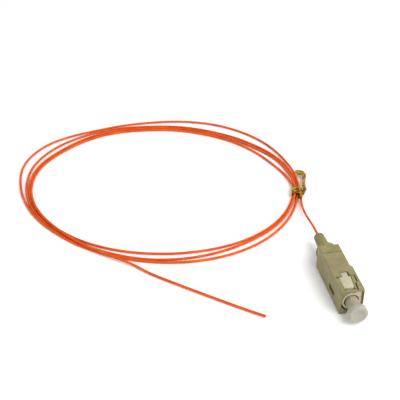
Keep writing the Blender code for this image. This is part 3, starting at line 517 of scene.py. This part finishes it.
fibre_data = bpy.data.curves.new("fibre", "CURVE")
fibre_data.dimensions = "3D"
fibre_data.bevel_depth = FIBRE / 2
fibre_data.bevel_resolution = 4
fibre_data.use_fill_caps = True
spline = fibre_data.splines.new("POLY")
spline.points.add(len(route) - 1)
spline.points.foreach_set("co", np.column_stack([route, np.ones(len(route))]).ravel())
spline.use_smooth = True
fibre_data.materials.append(orange)
fibre = bpy.data.objects.new("fibre", fibre_data)
bpy.context.scene.collection.objects.link(fibre)
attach(fibre, "plug_body")
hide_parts("fibre_lead", "fibre_coil", "fibre_tail")
fibre_length = float(np.linalg.norm(np.diff(route, axis=0), axis=1).sum())
print(f"fibre: {fibre_length:.3f} m in {len(route)} points")

# %% [markdown]
# The grip housing is the shell that the fingers pull. It starts as a box with rounded long edges and gets the
# key panel as a second outline. Booleans then open it as the mould's cores do: the cavity for the inner
# frame, the hollow behind the key, the two windows, the grooves and the narrow slots.

# %% Housing: shell, key and cavity
HALF = 3.7                          # half the width, in mm
TALL = 9.0
FRONT, REAR = -12.5, 12.5
PAST = 0.4                          # how far a cutter reaches past a face
LONG_EDGE, LONGER_THAN = 0.42, 20.0   # rounding of the long edges, and how long an edge is to get it
KEY_OUT, KEY_INSET, KEY_REAR, KEY_RAMP_END = 4.5, 0.35, 0.1, 1.6
KEY_CORNER, KEY_EDGE = 0.3, 0.22
KEY_FOOT = 0.75                     # how far back the key's ramp runs inside the shell
NEAR = 0.1                          # how close to a place an edge is to count as there
CAVITY_LEFT, CAVITY_RIGHT, LID, CAVITY_CUT = -3.1, 3.1, 0.5, 2.2
CAVITY_FRONT = (3.55, -2.35)        # its wall beside the key in front, where it is wider, and where that ends
POCKET = (3.45, 4.0, -12.0, 0.85)   # inner and outer wall, rear end, and distance from the faces

shell = block(-HALF, HALF, FRONT, REAR, 0, TALL)
long_edges = [e for e in shell.edges if abs((e.verts[1].co - e.verts[0].co).y) > LONGER_THAN * MM]
bmesh.ops.bevel(shell, geom=long_edges, offset=LONG_EDGE * MM, offset_type="OFFSET", segments=4, profile=0.5,
                affect="EDGES", clamp_overlap=True, material=-1)
key = prism([(HALF - PAST, FRONT), (KEY_OUT - KEY_CORNER, FRONT), (KEY_OUT, FRONT + 2 * KEY_CORNER),
             (KEY_OUT, KEY_REAR), (HALF, KEY_RAMP_END), (HALF - PAST, KEY_RAMP_END + KEY_FOOT)],
            KEY_INSET, TALL - KEY_INSET, "Z")
key_edges = [e for e in key.edges if min(v.co.x for v in e.verts) > (HALF - NEAR / 2) * MM and
             abs((e.verts[1].co - e.verts[0].co).z) < NEAR * MM]
bmesh.ops.bevel(key, geom=key_edges, offset=KEY_EDGE * MM, offset_type="OFFSET", segments=3, profile=0.5,
                affect="EDGES", clamp_overlap=True, material=-1)
housing = carve(shell, key, "UNION")
cavity = [(CAVITY_LEFT + CAVITY_CUT, LID), (CAVITY_RIGHT, LID), (CAVITY_RIGHT, TALL - LID),
          (CAVITY_LEFT + CAVITY_CUT, TALL - LID), (CAVITY_LEFT, TALL - LID - CAVITY_CUT),
          (CAVITY_LEFT, LID + CAVITY_CUT)]
housing = carve(housing, prism(cavity, FRONT - PAST, REAR + PAST, "Y"))
housing = carve(housing, block(0, CAVITY_FRONT[0], FRONT - PAST, CAVITY_FRONT[1], LID, TALL - LID))
housing = carve(housing, block(POCKET[0], POCKET[1], FRONT - PAST, POCKET[2], POCKET[3], TALL - POCKET[3]))
print("housing shell:", len(housing.faces), "faces")

# %% [markdown]
# The windows let the adapter's hooks reach the catches on the inner frame. They have a wide part, a narrow
# tail with a deep gap beside it, and on the upper side one extra corner. The slots beside the key go through
# the wall. The thumb groove and the faint bands behind the window are shallow cuts in the upper and lower
# faces.

# %% Housing: windows, grooves and slots
CATCH = (-2.0, 2.0, -10.5, -4.9)    # wide part of the catch on the frame: X, then Y
CATCH_TAPER = 0.6
TAB = (-0.75, 1.25, -2.7)           # narrow part: X, then its rear end
TAB_GAP = 0.45
FIT = 0.15
SLANT_FIT = 0.12                    # beside the catch's slanted side
WINDOW_AHEAD = 1.0                  # how far the window reaches in front of the catch
NOTCH = (0.9, 0.8)                  # the extra corner on the upper side, in X and Y
WINDOW_FRONT = CATCH[2] - WINDOW_AHEAD - FIT
window_rear = CATCH[3] + FIT
window = [(CATCH[0] - FIT, WINDOW_FRONT), (CATCH[1] - CATCH_TAPER + SLANT_FIT, WINDOW_FRONT),
          (CATCH[1] - CATCH_TAPER + SLANT_FIT, CATCH[2]), (CATCH[1] + SLANT_FIT, window_rear),
          (CATCH[0] - FIT, window_rear)]
housing = carve(housing, prism(window, -PAST, TALL + PAST, "Z"))
housing = carve(housing, block(TAB[0] - FIT, TAB[1] + FIT + TAB_GAP, CATCH[3], TAB[2] + FIT,
                               -PAST, TALL + PAST))
housing = carve(housing, block(CATCH[0] - FIT - NOTCH[0], CATCH[0] + PAST, window_rear - NOTCH[1],
                               window_rear, AXIS_Z, TALL + PAST))
# the slots' outlines: rear, front and the short one that joins the rear one to the window
SLOTS = (((3.05, -4.4), (3.5, -4.4), (3.45, -8.2), (2.95, -8.2)),
         ((2.15, -8.5), (2.75, -8.5), (2.4, -12.1), (1.85, -12.1)),
         ((2.0, -4.4), (3.15, -4.4), (3.15, -4.85), (2.0, -4.85)))
SLOT_DEPTH = LID + PAST             # more than the wall's thickness
THUMB_GROOVE = (8.1, 8.5, 0.25)     # Y limits and depth
FRONT_FIELD = (2.15, 0.2)           # half width and depth of the shallow field in front of the window
RIBS = (4.5, 2.9, 1.3, -0.9)
RIB, RIB_END = (0.3, 0.05), 0.7     # half width and depth of the soft bands, and their distance to the sides


def sunk(face, out, size):
    """Limits in Z of a cutter that goes a size deep into the upper or the lower face."""
    return sorted((face - out * size, face + out * PAST))


for face, out in ((TALL, 1), (0, -1)):
    housing = carve(housing, block(-HALF - PAST, HALF + PAST, *THUMB_GROOVE[:2],
                                   *sunk(face, out, THUMB_GROOVE[2])))
    housing = carve(housing, block(-FRONT_FIELD[0], FRONT_FIELD[0], FRONT - PAST, WINDOW_FRONT + PAST,
                                   *sunk(face, out, FRONT_FIELD[1])))
    for slot in SLOTS:
        housing = carve(housing, prism(slot, *sunk(face, out, SLOT_DEPTH), "Z"))
    for y in RIBS:
        outer, inner = face + out * PAST, face - out * RIB[1]
        band = [(y - RIB[0], outer), (y - RIB[0], face), (y - RIB[0] / 3, inner), (y + RIB[0] / 3, inner),
                (y + RIB[0], face), (y + RIB[0], outer)]
        housing = carve(housing, prism(band, -HALF + RIB_END, HALF - RIB_END, "X"))

# %% [markdown]
# Each narrow side has a finger scoop: it deepens from the rear towards the middle and ends in a step that
# bulges backwards. A cutter made of a few rows does it, one row for each height. The side away from the key
# also has a small round-ended recess in front of the scoop.

# %% Housing: finger scoops and side recess
SCOOP_REAR, SCOOP_DEPTH = 9.5, 0.4
SCOOP_ROWS = 25
KEY_SIDE_SHIFT = 1.4                # the step is this much further back on the key side
# height, distance of the step from the middle, share of the depth
SCOOP_STEP = ((0.45, 1.8, 0.1), (1.2, 2.0, 0.5), (2.4, 2.4, 0.85), (3.8, 3.3, 1.0), (5.2, 3.9, 1.0),
              (6.4, 3.6, 0.95), (7.4, 2.9, 0.8), (8.55, 2.1, 0.4))


def scoop(side, shift):
    """Cutter of a finger scoop on one side, with its step moved by shift."""
    bm = bmesh.new()
    heights, steps, shares = zip(*SCOOP_STEP)
    rows = []
    for height in np.linspace(heights[0], heights[-1], SCOOP_ROWS):
        step = np.interp(height, heights, steps) + shift
        inside = side * (HALF - SCOOP_DEPTH * np.interp(height, heights, shares))
        corners = [(side * (HALF + PAST), step), (inside, step), (side * HALF, SCOOP_REAR),
                   (side * (HALF + PAST), SCOOP_REAR)]
        ring = [bm.verts.new(Vector((x, y, height)) * MM) for x, y in corners]
        rows.append([bm.edges.new(pair) for pair in zip(ring, ring[1:] + ring[:1])])
    for low, high in zip(rows, rows[1:]):
        bmesh.ops.bridge_loops(bm, edges=low + high)
    bmesh.ops.holes_fill(bm, edges=rows[0] + rows[-1], sides=4)
    bmesh.ops.triangulate(bm, faces=bm.faces)
    return bm


housing = carve(housing, scoop(-1, 0))
housing = carve(housing, scoop(1, KEY_SIDE_SHIFT))
RECESS = (-4.1, 3.4, 1.8, 0.95, 0.5)     # Y and Z of its middle, half run, half width, depth
FLOOR_REACH = 1.0                        # faces this close to the middle of its floor are the floor
pill = [(RECESS[0] + side * (RECESS[2] + RECESS[3] * cos(radians(a))),
         RECESS[1] + side * RECESS[3] * sin(radians(a))) for side in (1, -1) for a in range(-90, 91, 15)]
housing = carve(housing, prism(pill, -HALF - PAST, -HALF + RECESS[4], "X"))
bmesh.ops.dissolve_limit(housing, angle_limit=radians(1), verts=housing.verts, edges=housing.edges)
print("housing:", len(housing.faces), "faces")
floor_middle = Vector((-HALF + RECESS[4], *RECESS[:2]))
low_faces = [f for f in housing.faces if (f.calc_center_median() / MM - floor_middle).length < FLOOR_REACH]
# the faces of the recess floor take the second material, the darker plastic of painted shade
for face in low_faces:
    face.material_index = 1
print("recess floor:", len(low_faces), "faces")
shell_piece = finish_piece("dressed_grip_housing", housing, beige, "grip", ["grip_housing"])
shell_piece.data.materials.append(recess_shade_plastic)

# %% [markdown]
# The plug frame carries the ferrule and the catches. At its mating end it is round on one side and square
# beside the key, with a wide bore for the adapter's sleeve. It is built like the housing: outlines that are
# pushed, a spun cutter for the stepped bore, and a narrow bevel on the catches.

# %% Plug frame
FRAME = (-2.95, 3.4, -12.15, 9.5, 0.65, 8.35)       # X, Y and Z limits
FRAME_STEP, FRAME_REAR_SIDE = -2.5, 2.95            # behind the step it is narrower on the key side
FRAME_CORNER = 0.2
NOSE_RADIUS, NOSE_REAR = 3.2, -10.3
BORE, HOLE, CHAMBER = 2.45, 1.4, 2.3                # radii
BORE_CHAMFER = 0.12
WALL = (-5.3, -4.3)
CATCH_EDGE, CATCH_SINK = 0.08, 0.15 # rounding, and the depth at which a catch starts and ends
GAP_DEPTH = 1.6                     # depth of the gap beside the narrow part, into the frame
UNDER_SLOT, SLOT_IN_NOSE = 1.2, 1.0 # the grooves under the housing's slots: depth, and reach into the nose


def frame_section(right):
    """The frame's outline in X and Z, out to a side beside the key."""
    return [(FRAME[0] + CAVITY_CUT, FRAME[4]), (right - FRAME_CORNER, FRAME[4]),
            (right, FRAME[4] + FRAME_CORNER), (right, FRAME[5] - FRAME_CORNER),
            (right - FRAME_CORNER, FRAME[5]), (FRAME[0] + CAVITY_CUT, FRAME[5]),
            (FRAME[0], FRAME[5] - CAVITY_CUT), (FRAME[0], FRAME[4] + CAVITY_CUT)]


plug_frame = prism(frame_section(FRAME_REAR_SIDE), FRAME_STEP - PAST, FRAME[3], "Y")
plug_frame = carve(plug_frame, prism(frame_section(FRAME[1]), NOSE_REAR, FRAME_STEP, "Y"), "UNION")
rim = [radians(angle) for angle in range(75, 286, 6)]
slope = AXIS_X + NOSE_RADIUS / 2
nose = [(AXIS_X + NOSE_RADIUS * cos(a), AXIS_Z + NOSE_RADIUS * sin(a)) for a in rim]
nose += [(slope, FRAME[4]), (FRAME[1], FRAME[4]), (FRAME[1], FRAME[5]), (slope, FRAME[5])]
plug_frame = carve(plug_frame, prism(nose, FRAME[2], NOSE_REAR + PAST, "Y"), "UNION")
catch = [(CATCH[0], CATCH[2]), (CATCH[1] - CATCH_TAPER, CATCH[2]), (CATCH[1], CATCH[3]), (TAB[1], CATCH[3]),
         (TAB[1], TAB[2]), (TAB[0], TAB[2]), (TAB[0], CATCH[3]), (CATCH[0], CATCH[3])]
# Z limits of the upper catch and of the gap beside it, and of the lower catch, which has no gap
CATCH_LIMITS = ((FRAME[5] - CATCH_SINK, TALL - CATCH_SINK, (FRAME[5] - GAP_DEPTH, TALL)),
                (CATCH_SINK, FRAME[4] + CATCH_SINK, None))
for z0, z1, gap in CATCH_LIMITS:
    plug_frame = carve(plug_frame, soften(prism(catch, z0, z1, "Z"), CATCH_EDGE), "UNION")
    if gap:
        plug_frame = carve(plug_frame, block(TAB[1], TAB[1] + TAB_GAP + FIT, CATCH[3], TAB[2], *gap))
for slot in SLOTS[:2]:
    under = [(x, max(y, NOSE_REAR - SLOT_IN_NOSE)) for x, y in slot]
    for z0, z1 in ((FRAME[5] - UNDER_SLOT, TALL), (0, FRAME[4] + UNDER_SLOT)):
        plug_frame = carve(plug_frame, prism(under, z0, z1, "Z"))
bore = turned([(FRAME[2] - PAST, 0), (FRAME[2] - PAST, BORE + PAST / 2), (FRAME[2], BORE + BORE_CHAMFER),
               (FRAME[2] + BORE_CHAMFER, BORE), (WALL[0], BORE), (WALL[0], HOLE), (WALL[1], HOLE),
               (WALL[1], CHAMBER), (FRAME[3] + PAST, CHAMBER), (FRAME[3] + PAST, 0)])
plug_frame = carve(plug_frame, bore)
bmesh.ops.dissolve_limit(plug_frame, angle_limit=radians(1), verts=plug_frame.verts, edges=plug_frame.edges)
finish_piece("dressed_plug_frame", plug_frame, cream, "plug_body", ["plug_frame"])

# %% [markdown]
# The ferrule, the rear body, the boot and the dust cap are round about the same axis, so each is one profile
# that is spun. The profile is a half section, as in a lathe drawing, with its small chamfers drawn in. Only
# the collar's rim gets its bevel after the spin.

# %% Ferrule and rear body
TIP, FERRULE_REAR, FERRULE_RADIUS = -13.0, 1.0, 1.25
FIBRE_BORE = 0.08              # the glass fibre's hole, drawn wide enough to show as a dot
ferrule = turned([(TIP + 0.4, 0), (TIP + 0.4, FIBRE_BORE), (TIP, FIBRE_BORE), (TIP, 0.9), (TIP + 0.1, 1.05),
                  (TIP + 0.4, FERRULE_RADIUS), (FERRULE_REAR, FERRULE_RADIUS), (FERRULE_REAR, 0)])
finish_piece("dressed_ferrule", ferrule, zirconia, "ferrule_unit", ["ferrule"])

COLLAR, COLLAR_EDGE = (13.8, 15.5, 3.7), 0.45    # Y limits and radius, and its rounding
BODY_FRONT, BARREL_FRONT = 6.1, 9.8
STEM_END, STEM, FIBRE_HOLE, NECK, BARREL = 18.7, 1.25, 0.65, 2.1, 2.8
SAME = 0.01                    # two places closer than this count as one
rear_body = turned([(BODY_FRONT, FIBRE_HOLE), (BODY_FRONT, NECK), (BARREL_FRONT, NECK),
                    (BARREL_FRONT, BARREL), (COLLAR[0], BARREL), (COLLAR[0], COLLAR[2]),
                    (COLLAR[1], COLLAR[2]), (COLLAR[1], STEM), (STEM_END, STEM), (STEM_END, FIBRE_HOLE)])


def on_rim(vert):
    """Whether a vertex lies on the collar's outer side."""
    return abs(Vector((vert.co.x / MM - AXIS_X, vert.co.z / MM - AXIS_Z)).length - COLLAR[2]) < SAME


rim_edges = [e for e in rear_body.edges if all(on_rim(v) for v in e.verts)
             and abs(e.verts[0].co.y - e.verts[1].co.y) < SAME * MM]
bmesh.ops.bevel(rear_body, geom=rim_edges, offset=COLLAR_EDGE * MM, offset_type="OFFSET", segments=4,
                profile=0.5, affect="EDGES", clamp_overlap=True, material=-1)
finish_piece("dressed_rear_body", rear_body, beige, "plug_body", ["rear_body"])

# %% [markdown]
# The boot is a soft moulded sleeve that keeps the fibre from bending sharply where it leaves the plug. It is
# one more spun profile, nearly straight from the base and rounded at the end in a few steps. It is hollow,
# because the rear body's stem and the fibre go into it.

# %% Boot
BOOT = (15.8, 24.3, 2.2, 1.9)       # Y limits, and the radius at the base and at the end
BOOT_FOOT = ((0, 0.1), (0.1, 0), (1.0, 0), (1.3, 0.08))      # steps from the base: along it, and inwards
BOOT_ROUND = ((1.1, 0), (0.62, 0.1), (0.28, 0.34), (0.08, 0.68), (0, 1.05))      # the same from the end
STEM_ROOM = STEM_END + 0.3          # where the hollow for the stem ends
boot = turned([(BOOT[0], STEM + FIT), *((BOOT[0] + y, BOOT[2] - inwards) for y, inwards in BOOT_FOOT),
               *((BOOT[1] - y, BOOT[3] - inwards) for y, inwards in BOOT_ROUND), (BOOT[1], FIBRE_HOLE),
               (STEM_ROOM, FIBRE_HOLE), (STEM_ROOM, STEM + FIT)])
finish_piece("dressed_boot", boot, boot_beige, "plug_body", ["boot"], smooth=50)

# %% [markdown]
# The dust cap is a thin tube that grips the ferrule, with a mushroom head to pull it by. The head's front has
# a shallow round dish, which shows as a faint ring through the milky plastic.

# %% Dust cap
CAP_END, CAP_NECK, CAP_FRONT = -7.8, -16.9, -19.3
CAP_TUBE, CAP_HEAD, CAP_BORE = 2.15, 3.25, 1.4
CAP_FLOOR = TIP - 0.3
DISH = (1.9, 0.18)                   # radius and depth
# steps along Y and in the radius: the head's front rim, its back rim, the fillet at the neck, the tube's end
HEAD_FRONT = ((0, 0.55), (0.1, 0.25), (0.32, 0.05), (0.6, 0))
HEAD_BACK = ((0.4, 0), (0.12, 0.12), (0, 0.4))
NECK_FILLET = ((0, 0.5), (0.15, 0.15), (0.5, 0))
TUBE_END = (0.15, 0.12)
cap = turned([(CAP_FRONT + DISH[1], 0), (CAP_FRONT + DISH[1], DISH[0] - 0.1), (CAP_FRONT, DISH[0] + 0.12),
              *((CAP_FRONT + y, CAP_HEAD - inwards) for y, inwards in HEAD_FRONT),
              *((CAP_NECK - y, CAP_HEAD - inwards) for y, inwards in HEAD_BACK),
              *((CAP_NECK + y, CAP_TUBE + outwards) for y, outwards in NECK_FILLET),
              (CAP_END - TUBE_END[0], CAP_TUBE), (CAP_END, CAP_TUBE - TUBE_END[1]),
              (CAP_END, CAP_BORE + TUBE_END[1]), (CAP_END - TUBE_END[1], CAP_BORE), (CAP_FLOOR, CAP_BORE),
              (CAP_FLOOR, 0)])
finish_piece("dressed_dust_cap", cap, milky, "cap", ["dust_cap"], smooth=50)

# %% [markdown]
# The twist tie is a strip of film, folded over a wire, that goes round the strands in two laps. The wrap is
# bridged from outlines that follow the strands at each place and crinkle outwards. The same outlines, one
# film's thickness smaller, make the body that is cut out of its middle, so the film is closed all round.

# %% Twist tie: wrap
WRAP = (-5.2, 0.1)             # its ends along the strands, in mm from the tie's middle
WRAP_GAP, FILM, CRINKLE = 0.04, 0.1, 0.09
LAP, LAP_WIDTH = 0.28, 2.6     # the film laps twice: how far each lap bulges, and how wide it is
LAP_SLANT = 0.4                # how far a lap leans from side to side
# the two waves of the crinkles: how fast each goes round the strands and along them
CRINKLE_ROUND, CRINKLE_ALONG = (2.5, 4.0), (2.2, -3.1)
SQUARED = 0.45                 # 1 makes the outline round, and less makes it squarer
NEAR_STRANDS = 1.1             # degrees on each side over which the strands are measured
WRAP_SIDES, WRAP_RINGS = 28, 20
CLEAR = 0.02                   # lowest height of the film above the floor
TIE_OUT = 2.75                 # the tie's middle, outside the coil's mean radius
tie_radius = COIL_RADIUS + TIE_OUT * MM
tie_middle = coil_point(TIE_ANGLE, tie_radius, 0)


def loft(rings):
    """Joins closed rings of places in mm into one closed body."""
    bm = bmesh.new()
    loops = []
    for ring in rings:
        verts = [bm.verts.new(Vector(place) * MM) for place in ring]
        loops.append([bm.edges.new(pair) for pair in zip(verts, verts[1:] + verts[:1])])
    for low, high in zip(loops, loops[1:]):
        bmesh.ops.bridge_loops(bm, edges=low + high)
    bmesh.ops.holes_fill(bm, edges=loops[0] + loops[-1], sides=len(rings[0]))
    bmesh.ops.recalc_face_normals(bm, faces=bm.faces)
    return bm


def wrap_ring(along, grow=0.0):
    """One outline of the wrap: a rounded rectangle round the strands, with crinkles, grown by a thickness."""
    angle = TIE_ANGLE + along * MM / tie_radius * 180 / pi
    turn_away = np.abs((fine - angle + 180) % 360 - 180)
    here = turn_away < NEAR_STRANDS
    inner, outer = radii[here].min() - FIBRE / 2, radii[here].max() + FIBRE / 2
    low, high = heights[here].min() - FIBRE / 2, heights[here].max() + FIBRE / 2
    ring = []
    for k in range(WRAP_SIDES):
        a = tau * k / WRAP_SIDES
        first, second = (turns * a + runs * along for turns, runs in zip(CRINKLE_ROUND, CRINKLE_ALONG))
        crease = abs(sin(first) * cos(second)) * CRINKLE
        crease += LAP * abs(sin(pi * (along - WRAP[0]) / LAP_WIDTH + LAP_SLANT * sin(a)))
        reach = (WRAP_GAP + crease + grow) * MM
        x = (outer - inner) / 2 * np.sign(cos(a)) * abs(cos(a)) ** SQUARED + reach * cos(a)
        z = (high - low) / 2 * np.sign(sin(a)) * abs(sin(a)) ** SQUARED + reach * sin(a)
        height = max((low + high) / 2 + z, (CLEAR + FILM - grow) * MM)
        ring.append(coil_point(angle, (inner + outer) / 2 + x, height) / MM)
    return ring


wrap_stops = np.linspace(*WRAP, WRAP_RINGS)
wrap_step = wrap_stops[1] - wrap_stops[0]
outside = loft([wrap_ring(s, FILM) for s in wrap_stops])
inside = loft([wrap_ring(s) for s in (wrap_stops[0] - wrap_step, *wrap_stops, wrap_stops[-1] + wrap_step)])
tie = carve(outside, inside)
print("wrap:", len(tie.faces), "faces")

# %% [markdown]
# Beside the strands the two ends of the tie are twisted, and the film opens out again past the twist. Each
# end is a strip whose section turns as it goes along its route, with a ridge in the middle where the wire is.
# The section is the same all along, so a few numbers for each place give the whole strip. The creases come
# from slow waves.

# %% Twist tie: twisted ends
# steps in mm from the bundle's middle in X and Y, the height, the strip's width, and its turn in degrees
LONG_END = (
    (0.4, -3.9, 1.25, 1.3, 60), (1.4, -3.2, 1.45, 1.4, 130), (2.5, -2.4, 1.6, 1.6, 220),
    (3.0, -0.8, 1.6, 1.6, 300), (3.3, 1.2, 1.5, 1.4, 370), (3.9, 3.3, 1.4, 1.5, 390),
    (4.5, 5.4, 1.4, 1.5, 395), (5.2, 7.5, 1.4, 1.5, 385), (5.65, 9.3, 1.45, 1.95, 360),
    (5.2, 10.4, 1.5, 2.75, 350), (4.2, 11.4, 1.5, 2.7, 345), (2.8, 12.5, 1.55, 1.3, 345),
)
SHORT_END = (
    (2.9, -0.3, 1.8, 1.3, 200), (2.9, -2.2, 2.1, 1.5, 150), (2.0, -4.1, 2.5, 1.6, 60),
    (0.8, -5.9, 2.75, 1.7, 20), (-0.3, -7.5, 2.55, 1.3, 10), (-1.1, -9.3, 2.2, 0.7, 0),
)
WIRE_RIDGE = 0.24                        # half thickness of the strip at its wire
STRIP_STEPS = 7                          # rings between two stops of a route
ROUNDING = STRIP_STEPS + 4               # rings over which the corners of a route are rounded
WIDTH_WAVE = (0.1, 2.3)                  # share of the width, and turn in radians from ring to ring
STRIP_CREASE = (0.1, 1.9, 2.0)           # mm at the strip's sides, and turn from ring to ring and across it
# the strip's section, as shares of its half width and of its half thickness at the wire
STRIP_SECTION = ((-1, -0.25), (-0.3, -0.3), (-0.12, -0.9), (0.12, -0.9), (0.3, -0.3), (1, -0.25), (1, 0.25),
                 (0.3, 0.3), (0.12, 0.9), (-0.12, 0.9), (-0.3, 0.3), (-1, 0.25))


def twisted_strip(route, phase):
    """A film strip along a route, turned as the route says, with creases across it."""
    stops = np.array(route, float)
    t = np.arange(len(stops))
    fine_t = np.linspace(0, len(stops) - 1, (len(stops) - 1) * STRIP_STEPS + 1)
    kernel = np.hanning(ROUNDING)[1:-1]
    kernel /= kernel.sum()
    reach = len(kernel) // 2
    table = []
    for column in stops.T:
        line = np.interp(fine_t, t, column)
        padded = np.concatenate([2 * line[0] - line[reach:0:-1], line, 2 * line[-1] - line[-2:-reach - 2:-1]])
        table.append(np.convolve(padded, kernel, mode="valid")[:len(line)])
    x, y, z, width, turn = table
    centre = tie_middle / MM
    places = [Vector((centre.x + x[i], centre.y + y[i], z[i])) for i in range(len(x))]
    rings = []
    for i, place in enumerate(places):
        ahead = (places[min(i + 1, len(places) - 1)] - places[max(i - 1, 0)]).normalized()
        across = Vector((0, 0, 1)).cross(ahead).normalized()
        up = ahead.cross(across)
        flat = across * cos(radians(turn[i])) + up * sin(radians(turn[i]))
        thick = ahead.cross(flat)
        half = width[i] / 2 * (1 + WIDTH_WAVE[0] * sin(WIDTH_WAVE[1] * i + phase))
        ring = []
        for u, v in STRIP_SECTION:
            crease = STRIP_CREASE[0] * u * u * sin(STRIP_CREASE[1] * i + STRIP_CREASE[2] * u + phase)
            ring.append(place + flat * (u * half) + thick * (v * WIRE_RIDGE + crease))
        rings.append(ring)
    return loft(rings)


for route, phase in ((LONG_END, 0.0), (SHORT_END, 1.3)):
    tie = carve(tie, twisted_strip(route, phase), "UNION", creased=True)
finish_piece("dressed_twist_tie", tie, gold, "plug_body", ["twist_tie"], smooth=60)

# %% [markdown]
# The ferrule's holder and its spring sit inside the plug, where they hardly show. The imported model's own
# meshes are good enough for them, so they keep their shapes and only get a finish.

# %% Finishes of the hidden CAD pieces
for node, material in (("ferrule_flange", nickel), ("ferrule_spring", spring_wire)):
    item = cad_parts[node]
    item.data.materials.clear()
    item.data.materials.append(material)
    print(node, "takes", material.name)
